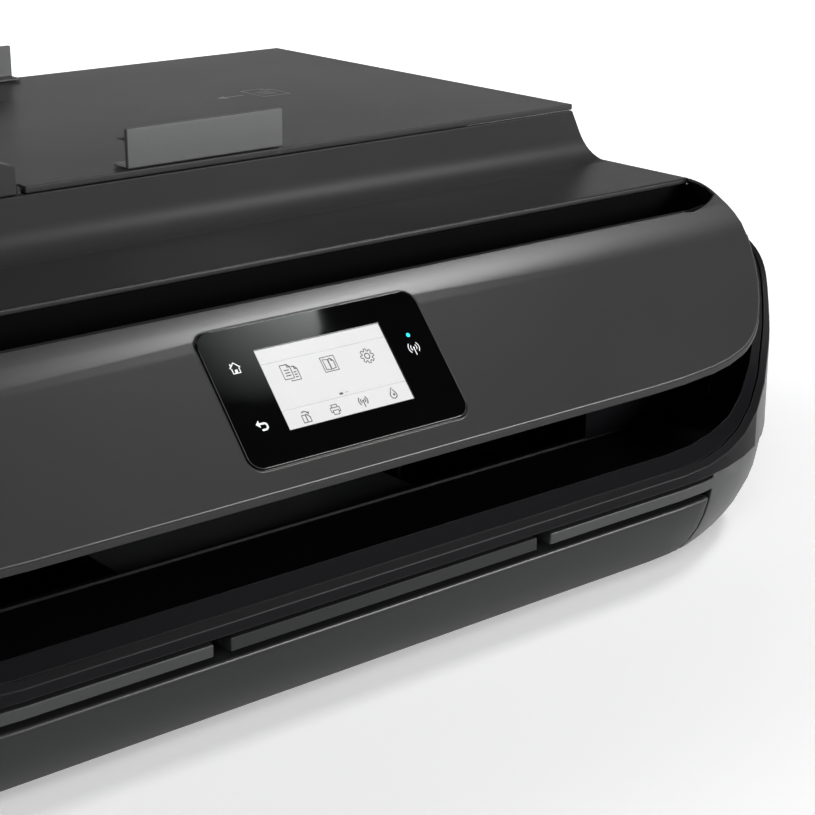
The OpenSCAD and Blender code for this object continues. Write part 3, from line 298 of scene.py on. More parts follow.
def group_moulded_grain():
    """Fine grain left by a mould, and slow unevenness of tone and gloss."""
    bench, given, out = new_group(
        "Moulded grain",
        [
            ("Colour", COLOUR, MID_GREY),
            ("Grain size", FLOAT, 0.00045),
            ("Tone change", FLOAT, 0.10),
            ("Roughness", FLOAT, 0.45),
            ("Roughness change", FLOAT, 0.025),
        ],
        [("Colour", COLOUR), ("Roughness", FLOAT), ("Height", FLOAT)],
    )
    place = given["Vector"]
    per_metre = bench.math("DIVIDE", 1.0, given["Grain size"])
    grain = bench.noise(place, per_metre, 3.0, 0.62)
    slow = bench.noise(place, 16.0, 3.0, 0.55)
    fleck = bench.span(bench.noise(place, bench.times(per_metre, 0.33), 2.0), 0.1, 0.9)
    tone = bench.add(bench.times(slow, 0.7), bench.times(fleck, 0.3))
    change = given["Tone change"]
    shade = bench.span(tone, 0.25, 0.75, bench.minus(1.0, change), bench.add(1.0, change))
    rough, change = given["Roughness"], given["Roughness change"]
    gloss = bench.span(tone, 0.25, 0.75, bench.minus(rough, change), bench.add(rough, change))
    bench.join(bench.vector("SCALE", a=given["Colour"], Scale=shade)[0], out["Colour"])
    bench.join(gloss, out["Roughness"])
    bench.join(grain, out["Height"])
    return bench.tree


def group_settled_dust():
    """Thin dust that lies on faces that look up."""
    bench, given, out = new_group(
        "Settled dust",
        [("Colour", COLOUR, MID_GREY), ("Amount", FLOAT, 0.02)],
        [("Colour", COLOUR)],
    )
    facing = bench.axes(bench.node("NewGeometry").outputs["Normal"])
    upward = bench.span(facing["Z"], 0.55, 1.0)
    speck = bench.span(bench.noise(given["Vector"], 900.0, 4.0, 0.7), 0.56, 0.74)
    cloud = bench.span(bench.noise(given["Vector"], 22.0, 4.0, 0.6), 0.35, 0.75)
    lying = bench.times(upward, bench.math("MAXIMUM", speck, bench.times(cloud, 0.5)))
    mask = bench.times(lying, given["Amount"])
    bench.join(bench.blend(mask, given["Colour"], (0.42, 0.41, 0.39)), out["Colour"])
    return bench.tree


def group_drawn_metal():
    """Fine lines that rolling or turning leaves along one direction."""
    bench, given, out = new_group(
        "Drawn metal",
        [("Colour", COLOUR, MID_GREY), ("Roughness", FLOAT, 0.3), ("Stain", FLOAT, 0.2)],
        [("Colour", COLOUR), ("Roughness", FLOAT), ("Height", FLOAT)],
    )
    lines = bench.noise(bench.scaled(given["Vector"], (14, 2600, 2600)), 1.0, 3.0, 0.6)
    stain = bench.noise(given["Vector"], 45.0, 4.0, 0.6)
    clean = bench.minus(1.0, bench.times(bench.span(stain, 0.4, 0.75), given["Stain"]))
    shade = bench.times(clean, bench.span(lines, 0.3, 0.7, 0.92, 1.06))
    bench.join(bench.vector("SCALE", a=given["Colour"], Scale=shade)[0], out["Colour"])
    bench.join(bench.add(given["Roughness"], bench.times(stain, 0.12)), out["Roughness"])
    bench.join(lines, out["Height"])
    return bench.tree


def group_smudges():
    """Wiped and handled gloss: slow smears and fine hair lines in the roughness."""
    bench, given, out = new_group(
        "Smudges",
        [("Roughness", FLOAT, 0.05), ("Amount", FLOAT, 0.08)],
        [("Roughness", FLOAT), ("Mask", FLOAT)],
    )
    smear = bench.span(bench.noise(given["Vector"], 38.0, 4.0, 0.6, 1.2), 0.45, 0.75)
    brushed = bench.scaled(given["Vector"], (90, 2400, 2400))
    hair = bench.span(bench.noise(brushed, 1.0, 2.0), 0.60, 0.72)
    mask = bench.add(bench.times(smear, 0.8), bench.times(hair, 0.2))
    bench.join(mask, out["Mask"])
    bench.join(
        bench.add(given["Roughness"], bench.times(mask, given["Amount"])), out["Roughness"]
    )
    return bench.tree


def group_fibres():
    """Matted fibres of felt and foam."""
    bench, given, out = new_group(
        "Fibres",
        [("Colour", COLOUR, MID_GREY), ("Fibre size", FLOAT, 0.0008)],
        [("Colour", COLOUR), ("Height", FLOAT)],
    )
    per_metre = bench.math("DIVIDE", 1.0, given["Fibre size"])
    fibre = bench.noise(given["Vector"], per_metre, 5.0, 0.75, 2.5)
    clump = bench.noise(given["Vector"], bench.times(per_metre, 0.08), 3.0)
    matted = bench.add(fibre, bench.times(clump, 0.6))
    shade = bench.span(matted, 0.55, 1.05, 0.78, 1.12)
    bench.join(bench.vector("SCALE", a=given["Colour"], Scale=shade)[0], out["Colour"])
    bench.join(fibre, out["Height"])
    return bench.tree


def group_round_zones():
    """Distance from the axis of a round piece, for its tyres and its shaft."""
    bench, given, out = new_group(
        "Round zones",
        [("Axis point", VECTOR, None), ("Along", VECTOR, None), ("Shaft radius", FLOAT, 0.003)],
        [("Outside", FLOAT)],
    )
    offset = bench.vector("SUBTRACT", a=given["Vector"], b=given["Axis point"])[0]
    across = bench.vector("CROSS_PRODUCT", a=offset, b=given["Along"])[0]
    radius = bench.vector("LENGTH", a=across)["Value"]
    past = bench.minus(radius, given["Shaft radius"])
    bench.join(bench.span(past, 0.0002, 0.0005), out["Outside"])
    return bench.tree


GROUP_MAKERS = {
    "Moulded grain": group_moulded_grain,
    "Settled dust": group_settled_dust,
    "Drawn metal": group_drawn_metal,
    "Smudges": group_smudges,
    "Fibres": group_fibres,
    "Round zones": group_round_zones,
}


def shared_group(name):
    """The node group of that name, built the first time it is asked for."""
    return bpy.data.node_groups.get(name) or GROUP_MAKERS[name]()


# ---------------------------------------------------------------- materials


class Finish(NodeBench):
    """A material with one Principled BSDF that reads Object coordinates."""

    def __init__(self, name, **constants):
        self.material = bpy.data.materials.new(name)
        self.material.use_nodes = True
        super().__init__(self.material.node_tree)
        self.tree.nodes.clear()
        self.shader = self.node("BsdfPrincipled")
        out = self.node("OutputMaterial")
        self.join(self.shader.outputs[0], out.inputs["Surface"])
        self.place = self.node("TexCoord").outputs["Object"]
        for key, value in constants.items():
            self.shader.inputs[key.replace("_", " ")].default_value = value

    def group(self, name, **values):
        node = self.node("Group", node_tree=shared_group(name))
        self.join(self.place, node.inputs["Vector"])
        for key, value in values.items():
            self.put(value, node.inputs[key.replace("_", " ")])
        return node.outputs

    def feed(self, **sockets):
        for key, value in sockets.items():
            self.join(value, self.shader.inputs[key.replace("_", " ")])

    def relief(self, height, depth):
        bump = self.node("Bump")
        bump.inputs["Strength"].default_value = 1.0
        bump.inputs["Distance"].default_value = depth
        self.join(height, bump.inputs["Height"])
        self.join(bump.outputs["Normal"], self.shader.inputs["Normal"])


def cached(maker):
    """Each finish is built once and then shared."""
    kept = []

    def give():
        if not kept:
            kept.append(maker())
        return kept[0]

    return give


def dimmed(colour, share):
    return tuple(share * part for part in colour)


def moulded(
    name, colour, roughness=0.46, grain=0.00045, depth=0.000012, tone=0.10, dust=0.03, specular=0.5
):
    """Spark-eroded moulded plastic."""
    finish = Finish(name, Specular_IOR_Level=specular)
    dusty = finish.group("Settled dust", Colour=colour, Amount=dust)
    grained = finish.group(
        "Moulded grain",
        Colour=dusty["Colour"],
        Grain_size=grain,
        Tone_change=tone,
        Roughness=roughness,
    )
    finish.feed(Base_Color=grained["Colour"], Roughness=grained["Roughness"])
    finish.relief(grained["Height"], depth)
    return finish.material


def body_plastic(name, colour, **changes):
    """Plastic with the grain that the outer mouldings share."""
    shell = shell_settings()
    return moulded(name, colour, grain=shell.grain_size, depth=shell.grain_depth, **changes)


@cached
def shell_grey():
    shell = shell_settings()
    return body_plastic(
        "Moulded grey plastic",
        shell.grey,
        roughness=shell.roughness,
        tone=0.08,
        dust=0.004,
        specular=0.42,
    )


@cached
def shell_dark():
    return body_plastic(
        "Moulded dark plastic", shell_settings().dark, roughness=0.5, dust=0.0, specular=0.06
    )


@cached
def fascia_plastic():
    shell = shell_settings()
    return moulded(
        "Fascia plastic",
        shell.fascia,
        roughness=0.30,
        grain=shell.grain_size,
        depth=0.000006,
        tone=0.04,
        dust=0.0,
        specular=0.45,
    )


@cached
def lid_plastic():
    shell = shell_settings()
    return body_plastic(
        "Lid plastic",
        shell.lid,
        roughness=shell.roughness,
        tone=0.06,
        dust=0.008,
        specular=0.12,
    )


@cached
def drawer_plastic():
    """The shell's grey, a little deeper and more matt."""
    return body_plastic(
        "Drawer plastic",
        dimmed(shell_settings().grey, 0.72),
        roughness=0.42,
        tone=0.08,
        dust=0.0,
        specular=0.16,
    )


def black_plastic(name, colour, **changes):
    """Dustless deep black or near black plastic."""
    return moulded(name, colour, dust=0.0, **changes)


@cached
def bowl_plastic():
    return black_plastic(
        "Bowl plastic",
        shell_settings().bowl,
        roughness=0.5,
        grain=0.0004,
        depth=0.000003,
        tone=0.08,
        specular=0.04,
    )


# Glossy finish for the lid's rounded edges, darker in colour than the lid: it paints a highlight
# line along them, not a real polish.
@cached
def edge_highlight_finish():
    return black_plastic(
        "Edge highlight finish",
        (0.012, 0.012, 0.0125),
        roughness=0.3,
        grain=0.0005,
        depth=0.000004,
        tone=0.08,
        specular=0.24,
    )


# Finish of the rounded rim edges of the bowl and middle shell, a little lighter and glossier than
# they are: painted highlight lines.
@cached
def bowl_rim_highlight():
    return black_plastic(
        "Bowl rim highlight",
        (0.008, 0.008, 0.0086),
        roughness=0.36,
        grain=0.0005,
        depth=0.000004,
        tone=0.08,
        specular=0.13,
    )


# Near black for the scoop under the lid, darker than any other moulding: partly black plastic,
# partly painted shade.
@cached
def recess_black_and_shade():
    return black_plastic(
        "Recess black and painted shade",
        (0.0016, 0.0016, 0.0017),
        roughness=0.6,
        grain=0.0005,
        depth=0.00001,
        specular=0.03,
    )


@cached
def dark_plastic():
    return moulded(
        "Dark inner plastic", (0.018, 0.018, 0.019), roughness=0.5, grain=0.0005, depth=0.00001
    )


@cached
def guide_plastic():
    return moulded(
        "Guide plastic", (0.055, 0.056, 0.058), roughness=0.42, grain=0.0004, depth=0.000008
    )


GEAR_CREAM = (0.62, 0.60, 0.54)


@cached
def gear_plastic():
    return moulded(
        "Gear plastic",
        GEAR_CREAM,
        roughness=0.38,
        grain=0.0006,
        depth=0.000006,
        tone=0.05,
        dust=0.0,
    )


@cached
def colour_plastic():
    """Satin plastic of the three colour cartridge."""
    finish = Finish("Three colour plastic")
    grained = finish.group(
        "Moulded grain",
        Colour=(0.05, 0.052, 0.056),
        Grain_size=0.0005,
        Tone_change=0.08,
        Roughness=0.4,
    )
    finish.feed(Base_Color=grained["Colour"], Roughness=grained["Roughness"])
    finish.relief(grained["Height"], 0.000008)
    return finish.material


def fibrous(name, colour, fibre, roughness, wear, depth, sheen):
    """Felt or foam, worn a little where it is touched."""
    finish = Finish(name, Sheen_Weight=sheen)
    fibres = finish.group("Fibres", Colour=colour, Fibre_size=fibre)
    worn = finish.group("Smudges", Roughness=roughness, Amount=wear)
    finish.feed(Base_Color=fibres["Colour"], Roughness=worn["Roughness"])
    finish.relief(fibres["Height"], depth)
    return finish.material


@cached
def white_pad():
    return fibrous("White foam sheet", (0.80, 0.80, 0.78), 0.0016, 0.72, 0.12, 0.00003, 0.1)


@cached
def felt():
    return fibrous("Felt pad", (0.42, 0.42, 0.40), 0.0011, 0.88, 0.08, 0.0002, 0.35)


@cached
def gloss_black():
    """Polished black panel glass."""
    finish = Finish("Gloss black panel", Coat_Weight=0.6, Coat_Roughness=0.03)
    handled = finish.group("Smudges", Roughness=0.03, Amount=0.03)
    tone = finish.blend(handled["Mask"], (0.0008, 0.0008, 0.001), (0.0014, 0.0014, 0.0016))
    finish.feed(Base_Color=tone, Roughness=handled["Roughness"])
    return finish.material


@cached
def screen_face():
    """Lit white screen with a fine dot pitch, half of it lit from within."""
    white = panel_settings().screen_white
    finish = Finish("Lit screen", Emission_Strength=0.5)
    dots = finish.noise(finish.scaled(finish.place, (5200, 5200, 5200)), 1.0, 0.0)
    uneven = finish.noise(finish.place, 34.0, 2.0)
    mix = finish.add(finish.times(dots, 0.25), finish.times(uneven, 0.75))
    handled = finish.group("Smudges", Roughness=0.12, Amount=0.06)
    finish.feed(
        Base_Color=finish.blend(mix, dimmed(white, 0.48), dimmed(white, 0.5)),
        Emission_Color=finish.blend(mix, dimmed(white, 0.97), tuple(white)),
        Roughness=handled["Roughness"],
    )
    return finish.material


@cached
def rubber():
    finish = Finish("Black rubber", Specular_IOR_Level=0.35)
    grained = finish.group(
        "Moulded grain",
        Colour=(0.021, 0.021, 0.022),
        Grain_size=0.0007,
        Tone_change=0.16,
        Roughness=0.72,
    )
    dusty = finish.group("Settled dust", Colour=grained["Colour"], Amount=0.08)
    finish.feed(Base_Color=dusty["Colour"], Roughness=grained["Roughness"])
    finish.relief(grained["Height"], 0.00002)
    return finish.material


def metal(name, colour, roughness, stain, depth):
    finish = Finish(name, Metallic=1.0)
    drawn = finish.group("Drawn metal", Colour=colour, Roughness=roughness, Stain=stain)
    finish.feed(Base_Color=drawn["Colour"], Roughness=drawn["Roughness"])
    finish.relief(drawn["Height"], depth)
    return finish.material


@cached
def sheet_steel():
    """Zinc coated sheet with its spangle."""
    finish = Finish("Zinc coated sheet", Metallic=1.0)
    cells = finish.node("TexVoronoi", feature="F1")
    cells.inputs["Scale"].default_value = 240.0
    finish.join(finish.place, cells.inputs["Vector"])
    spangle = finish.span(cells.outputs["Distance"], 0.1, 0.8)
    tone = finish.blend(spangle, (0.46, 0.47, 0.48), (0.58, 0.59, 0.60))
    drawn = finish.group("Drawn metal", Colour=tone, Roughness=0.34, Stain=0.15)
    finish.feed(Base_Color=drawn["Colour"], Roughness=drawn["Roughness"])
    finish.relief(drawn["Height"], 0.000006)
    return finish.material


@cached
def shaft_steel():
    return metal("Ground shaft steel", (0.66, 0.66, 0.67), 0.16, 0.10, 0.000002)


@cached
def motor_steel():
    return metal("Motor can steel", (0.50, 0.50, 0.50), 0.30, 0.22, 0.000004)


@cached
def brass():
    return metal("Brass", (0.72, 0.52, 0.22), 0.24, 0.25, 0.000003)


@cached
def gold_contact():
    return metal("Gold plate", (0.83, 0.62, 0.25), 0.2, 0.12, 0.000002)


@cached
def screw_zinc():
    return metal("Zinc screw", (0.56, 0.56, 0.55), 0.28, 0.3, 0.000004)


@cached
def board_green():
    """Lacquered circuit board with its copper runs under the green."""
    finish = Finish("Circuit board", Coat_Weight=0.35, Coat_Roughness=0.2)
    runs = finish.node("TexBrick", offset=0.37, squash=1.0)
    for name, value in (
        ("Vector", finish.place),
        ("Scale", 150.0),
        ("Mortar Size", 0.02),
        ("Color1", (0.004, 0.062, 0.022)),
        ("Color2", (0.005, 0.080, 0.030)),
        ("Mortar", (0.012, 0.150, 0.060)),
    ):
        finish.put(value, runs.inputs[name])
    lacquer = finish.group("Smudges", Roughness=0.28, Amount=0.1)
    finish.feed(Base_Color=runs.outputs["Color"], Roughness=lacquer["Roughness"])
    finish.relief(runs.outputs["Fac"], 0.00002)
    return finish.material


@cached
def clear_glass():
    finish = Finish("Clear scanner glass", Transmission_Weight=1.0, IOR=1.5, Metallic=0.0)
    handled = finish.group("Smudges", Roughness=0.01, Amount=0.03)
    tone = finish.blend(handled["Mask"], (0.86, 0.92, 0.90), (0.80, 0.87, 0.85))
    finish.feed(Base_Color=tone, Roughness=handled["Roughness"])
    return finish.material


@cached
def clear_film():
    """Clear strip with fine black ticks along X."""
    finish = Finish("Ticked clear film", IOR=1.45)
    ticks = finish.node("TexWave", wave_type="BANDS", bands_direction="X", wave_profile="SIN")
    ticks.inputs["Scale"].default_value = 500.0
    finish.join(finish.place, ticks.inputs["Vector"])
    mask = finish.span(ticks.outputs["Fac"], 0.45, 0.55)
    tone = finish.blend(mask, (0.03, 0.03, 0.035), (0.46, 0.47, 0.46))
    handled = finish.group("Smudges", Roughness=0.1, Amount=0.1)
    finish.feed(Base_Color=tone, Roughness=handled["Roughness"])
    return finish.material


def printed(name, colour, glow=0.0):
    """Screen printed ink: slightly uneven, thin and satin."""
    finish = Finish(name, Emission_Strength=glow)
    cover = finish.span(finish.noise(finish.place, 2600.0, 3.0, 0.6), 0.3, 0.7)
    tone = finish.blend(cover, dimmed(colour, 0.9), tuple(colour))
    worn = finish.group("Smudges", Roughness=0.38, Amount=0.15)
    finish.feed(Base_Color=tone, Roughness=worn["Roughness"])
    if glow:
        finish.feed(Emission_Color=tone)
    return finish.material


# The white print glows a little of itself (0.35) though it is ink, not a lamp: painted light that
# brightens the marks on the panel and beside the scanner glass.
@cached
def mark_white():
    return printed("Printed white with painted glow", panel_settings().mark_white, 0.35)


@cached
def lamp_glow():
    return printed("Lit lamp lens", panel_settings().lamp_colour, 1.0)


@cached
def icon_grey():
    return printed("Icon grey", panel_settings().icon_grey)


@cached
def rule_grey():
    return printed("Rule grey", (0.50, 0.50, 0.51), 0.15)


@cached
def mark_grey():
    return printed("Printed grey", (0.24, 0.24, 0.25))


@cached
def dye_cyan():
    return printed("Cyan dot", (0.01, 0.35, 0.60))


@cached
def dye_magenta():
    return printed("Magenta dot", (0.55, 0.02, 0.22))


@cached
def dye_yellow():
    return printed("Yellow dot", (0.80, 0.60, 0.02))


@cached
def chip_black():
    return moulded(
        "Chip resin",
        (0.012, 0.012, 0.013),
        roughness=0.55,
        grain=0.0003,
        depth=0.000006,
        tone=0.08,
        dust=0.05,
    )


@cached
def white_resin():
    return moulded(
        "White socket resin",
        (0.70, 0.70, 0.66),
        roughness=0.4,
        grain=0.0004,
        depth=0.000004,
        tone=0.05,
        dust=0.02,
    )


def roller_finish(node, shaft_radius, tyre_colour, along, gear_before):
    """Bright shaft with tyres, and a gear up to gear_before in X where the roller has one."""
    low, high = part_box(node)
    finish = Finish("Roller " + node)
    outside = finish.group(
        "Round zones",
        Axis_point=tuple((a + b) / 2 for a, b in zip(low, high)),
        Along=along,
        Shaft_radius=shaft_radius,
    )["Outside"]
    steel = finish.group("Drawn metal", Colour=(0.62, 0.62, 0.63), Roughness=0.2, Stain=0.1)
    tyre = finish.group(
        "Moulded grain",
        Colour=tyre_colour,
        Grain_size=0.0005,
        Tone_change=0.14,
        Roughness=0.66,
    )
    around = tyre["Colour"]
    if gear_before is not None:
        reach = finish.axes(finish.place)["X"]
        is_gear = finish.span(reach, gear_before, gear_before + 0.0001, 1.0, 0.0)
        around = finish.blend(is_gear, around, GEAR_CREAM)
    finish.feed(
        Base_Color=finish.blend(outside, steel["Colour"], around),
        Metallic=finish.minus(1.0, outside),
        Roughness=finish.add(steel["Roughness"], finish.times(outside, 0.35)),
    )
    finish.relief(tyre["Height"], 0.00001)
    return finish.material


FINISH_OF_SLOT = {
    "shell_grey": shell_grey,
    "shell_dark": shell_dark,
    "bowl_plastic": bowl_plastic,
    "fascia_plastic": fascia_plastic,
    "lid_plastic": lid_plastic,
    "dark_plastic": dark_plastic,
    "guide_plastic": guide_plastic,
    "white_pad": white_pad,
    "gear_plastic": gear_plastic,
    "gloss_black": gloss_black,
    "screen_face": screen_face,
    "colour_plastic": colour_plastic,
    "rubber": rubber,
    "sheet_steel": sheet_steel,
    "shaft_steel": shaft_steel,
    "motor_steel": motor_steel,
    "brass": brass,
    "board_green": board_green,
    "felt": felt,
    "clear_glass": clear_glass,
    "clear_film": clear_film,
}

FINISH_OF_NODE = {
    "drawer_front": drawer_plastic,
    "rear_door": shell_grey,
    "tray_extender": drawer_plastic,
    "extender_tip": drawer_plastic,
}

ALONG_X, ALONG_Y = (1, 0, 0), (0, 1, 0)

# shaft radius, colour of the tyres, direction of the axis, gear at its left end or not
ROLLERS = {
    "feed_roller": (0.003, (0.030, 0.030, 0.032), ALONG_X, True),
    "output_roller": (0.003, (0.030, 0.030, 0.032), ALONG_X, True),
    "pinch_rollers": (0.0015, (0.50, 0.50, 0.47), ALONG_X, False),
    "star_wheels": (0.0015, (0.45, 0.45, 0.44), ALONG_X, False),
    "pickup_roller": (0.003, (0.040, 0.040, 0.042), ALONG_X, False),
    "feeder_roller": (0.003, (0.045, 0.048, 0.052), ALONG_Y, False),
    "feeder_pickup": (0.003, (0.045, 0.048, 0.052), ALONG_Y, False),
}


# ------------------------------------------------------------ piece helpers


def add_piece(name, shape, material, body, stands_for=()):
    """Turns a finished bmesh into a piece that rides on its body."""
    mesh = bpy.data.meshes.new(name)
    shape.to_mesh(mesh)
    shape.free()
    mesh.materials.append(material)
    piece = bpy.data.objects.new(name, mesh)
    bpy.context.scene.collection.objects.link(piece)
    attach(piece, body)
    if stands_for:
        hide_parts(*stands_for)
    return piece


def add_beside(node, name, shape, material):
    """A piece on the body of a node."""
    return add_piece(name, shape, material, BODY_OF[node])


def smooth_faces(mesh):
    for face in mesh.polygons:
        face.use_smooth = True


def shade_smooth(piece):
    smooth_faces(piece.data)
    piece.data.set_sharp_from_angle(angle=CREASE)


def round_edges(piece, width, segments=2):
    smooth_faces(piece.data)
    bevel = piece.modifiers.new("Rounded edges", "BEVEL")
    bevel.width = width
    bevel.segments = segments
    bevel.limit_method = "ANGLE"
    bevel.angle_limit = CREASE
    bevel.use_clamp_overlap = False
    even = piece.modifiers.new("Even shading", "WEIGHTED_NORMAL")
    even.mode = "FACE_AREA"
    even.weight = 80


def merged_shape(node):
    """Copy of a frame node with its loose triangles joined into plain faces."""
    shape = bmesh.new()
    shape.from_mesh(NODES[node].data)
    bmesh.ops.remove_doubles(shape, verts=shape.verts, dist=MERGE_GAP)
    bmesh.ops.dissolve_limit(
        shape, angle_limit=FLAT_ANGLE, verts=shape.verts, edges=shape.edges
    )
    return shape


def soft_copy(node, width, segments=2):
    """Stands for a frame node: its merged shape with the corner radii of the mould."""
    material = NODES[node].data.materials[0]
    piece = add_piece(
        node + "_skin", merged_shape(node), material, BODY_OF[node], (node,)
    )
    round_edges(piece, width, segments)
    return piece


def soften(**edges):
    """Makes soft copies of nodes that are given with the name of their edge size."""
    shell = shell_settings()
    for node, edge in edges.items():
        soft_copy(node, getattr(shell, edge + "_edge"))


def recolour(piece, finish, is_picked):
    """Gives the finish to the faces that is_picked picks by their place and facing."""
    piece.data.materials.append(finish)
    index = len(piece.data.materials) - 1
    for face in piece.data.polygons:
        if is_picked(face.center, face.normal):
            face.material_index = index


def give_edges_highlight_finish(piece, finish):
    """Gives the rounded edges of a piece a finish of their own, glossier than the piece, which
    paints highlight lines along them.
    """
    piece.data.materials.append(finish)
    piece.modifiers["Rounded edges"].material = len(piece.data.materials) - 1


def middle_of(low, high):
    return [(a + b) / 2 for a, b in zip(low, high)]


def new_verts(made):
    return [part for part in made["geom"] if isinstance(part, bmesh.types.BMVert)]


def edges_at(verts):
    """Edges that meet the vertices, each once and in their order."""
    return list(dict.fromkeys(edge for vert in verts for edge in vert.link_edges))


def panel_directions():
    """Unit vectors out of the tilted panel and up its slope."""
    tilt = panel_settings().tilt
    return (
        Vector((0, -math.sin(tilt), math.cos(tilt))),
        Vector((0, math.cos(tilt), math.sin(tilt))),
    )


def panel_plane(node):
    """Plane on the outermost face of a node of the tilted panel, X across and Y up the slope."""
    outward, upward = panel_directions()
    middle = Vector(middle_of(*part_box(node)))
    reach = max(v.co.dot(outward) for v in NODES[node].data.vertices)
    middle += outward * (reach - middle.dot(outward))
    return Matrix((
        (1, upward.x, outward.x, middle.x),
        (0, upward.y, outward.y, middle.y),
        (0, upward.z, outward.z, middle.z),
        (0, 0, 0, 1),
    ))


def level_plane(x, y, z):
    """Plane that faces up."""
    return Matrix.Translation((x, y, z))


def under_plane(x, y, z):
    """Plane that faces down."""
    return level_plane(x, y, z) @ Matrix.Rotation(math.pi, 4, "X")


def back_plane(x, y, z):
    """Plane that faces the rear, X across to the left as seen from behind."""
    half_turn = Matrix.Rotation(math.pi, 4, "Z")
    return level_plane(x, y, z) @ half_turn @ Matrix.Rotation(QUARTER_TURN, 4, "X")


def polar(x, y, radius, degrees):
    turn = math.radians(degrees)
    return (x + radius * math.cos(turn), y + radius * math.sin(turn))


def arc(x, y, radius, start, end, steps):
    return [polar(x, y, radius, start + (end - start) * i / steps) for i in range(steps + 1)]


class MarkSheet:
    """Raised marks drawn in millimetres on a plane, and then laid on the part.

    Points are counted from the centre that at() sets last."""

    def __init__(self, width=0.5):
        self.shape = bmesh.new()
        self.width = width
        self.centre = (0, 0)

    def at(self, x, y):
        self.centre = (x, y)

    def placed(self, points):
        return [(self.centre[0] + x, self.centre[1] + y) for x, y in points]

    def line(self, points, width=None, closed=False, rise=0.35):
        """Half round bar along the points, flattened to rise times its width."""
        curve = bpy.data.curves.new("line", "CURVE")
        curve.dimensions = "3D"
        curve.bevel_depth = (width or self.width) / 2
        curve.bevel_resolution = 2
        curve.use_fill_caps = True
        spline = curve.splines.new("POLY")
        spline.points.add(len(points) - 1)
        for point, (x, y) in zip(spline.points, self.placed(points)):
            point.co = (x, y, 0, 1)
        spline.use_cyclic_u = closed
        holder = bpy.data.objects.new("line", curve)
        drawn = bpy.data.meshes.new_from_object(holder)
        drawn.transform(Matrix.Diagonal((1, 1, rise, 1)))
        self.shape.from_mesh(drawn)
        bpy.data.objects.remove(holder)
        bpy.data.curves.remove(curve)
        bpy.data.meshes.remove(drawn)

    def loop(self, points):
        self.line(points, closed=True)

    def rows(self, start, end, heights):
        """Short level lines below one another."""
        for height in heights:
            self.line([(start, height), (end, height)])

    def dot(self, x, y, radius, rise=0.04):
        """Low round lens."""
        x, y = self.placed([(x, y)])[0]
        flat = Matrix.Diagonal((1, 1, rise / radius, 1))
        bmesh.ops.create_uvsphere(
            self.shape,
            u_segments=20,
            v_segments=8,
            radius=radius,
            matrix=Matrix.Translation((x, y, 0)) @ flat,
        )

    def patch(self, points, rise=0.04):
        """Filled outline, raised on both sides of the plane."""
        corners = [self.shape.verts.new((x, y, -rise)) for x, y in self.placed(points)]
        made = bmesh.ops.contextual_create(self.shape, geom=corners)
        grown = bmesh.ops.extrude_face_region(self.shape, geom=made["faces"])
        bmesh.ops.translate(self.shape, verts=new_verts(grown), vec=(0, 0, 2 * rise))

    def lay(self, name, plane, material, body):
        bmesh.ops.recalc_face_normals(self.shape, faces=self.shape.faces)
        bmesh.ops.transform(
            self.shape, matrix=plane @ Matrix.Scale(MM, 4), verts=self.shape.verts
        )
        shade_smooth(add_piece(name, self.shape, material, body))


def draw_wireless(sheet, size, width=None):
    """Mast with waves on both sides."""
    width = width or sheet.width
    sheet.line([(0, -size), (0, 0)], width)
    sheet.dot(0, 0, width * 0.95)
    spread = 48
    for radius in (0.42 * size, 0.78 * size):
        for middle in (0, 180):
            sheet.line(arc(0, 0, radius, middle - spread, middle + spread, 8), width)


def draw_page(sheet, x0, y0, x1, y1, fold):
    """Outline of a sheet with its top right corner folded."""
    sheet.loop([(x0, y1), (x1 - fold, y1), (x1, y1 - fold), (x1, y0), (x0, y0)])
    sheet.line([(x1 - fold, y1), (x1 - fold, y1 - fold), (x1, y1 - fold)])


def bevel_edges(shape, edges, width, segments):
    bmesh.ops.bevel(
        shape,
        geom=edges,
        offset=width,
        offset_type="OFFSET",
        affect="EDGES",
        segments=segments,
        profile=0.5,
        material=-1,
    )


def boxes(shape, places, edge=0.0):
    """Adds blocks given as (low corner, high corner) in metres, with rounded edges."""
    for low, high in places:
        size = [b - a for a, b in zip(low, high)]
        made = bmesh.ops.create_cube(
            shape,
            size=1,
            matrix=Matrix.Translation(middle_of(low, high)) @ Matrix.Diagonal((*size, 1)),
        )
        if edge:
            bevel_edges(shape, edges_at(made["verts"]), edge, 2)


def pin(shape, radius, length, plane, dome):
    """Round pin with a rounded tip, standing on a plane."""
    made = bmesh.ops.create_cone(
        shape,
        cap_ends=True,
        segments=20,
        radius1=radius,
        radius2=radius,
        depth=length,
        matrix=plane @ Matrix.Translation((0, 0, length / 2)),
    )
    tip = plane @ Vector((0, 0, length))
    rim = [
        edge
        for edge in edges_at(made["verts"])
        if all((vert.co - tip).length < radius * 1.05 for vert in edge.verts)
    ]
    bevel_edges(shape, rim, radius * dome, 3)


def screw(shape, radius, plane):
    """Low domed head with a cross recess."""
    head = bmesh.ops.create_cone(
        shape,
        cap_ends=True,
        segments=24,
        radius1=radius,
        radius2=radius * 0.82,
        depth=radius * 0.35,
        matrix=plane @ Matrix.Translation((0, 0, radius * 0.10)),
    )
    turned = plane.to_3x3()
    outward = (turned @ Vector((0, 0, 1))).normalized()
    faces = (face for vert in head["verts"] for face in vert.link_faces)
    top = max(faces, key=lambda face: face.calc_center_median().dot(outward))
    bmesh.ops.inset_region(shape, faces=[top], thickness=radius * 0.34, use_even_offset=True)
    middle = top.calc_center_median()
    for vert in top.verts:
        arm = turned.inverted() @ (vert.co - middle)
        turn = math.degrees(math.atan2(arm.y, arm.x)) % 90
        if 20 < turn < 70:
            vert.co = middle + (vert.co - middle) * 0.42
    sunk = bmesh.ops.extrude_face_region(shape, geom=[top])
    bmesh.ops.delete(shape, geom=[top], context="FACES_ONLY")
    bmesh.ops.translate(shape, verts=new_verts(sunk), vec=-outward * radius * 0.3)


# -------------------------------------------------------------- operators


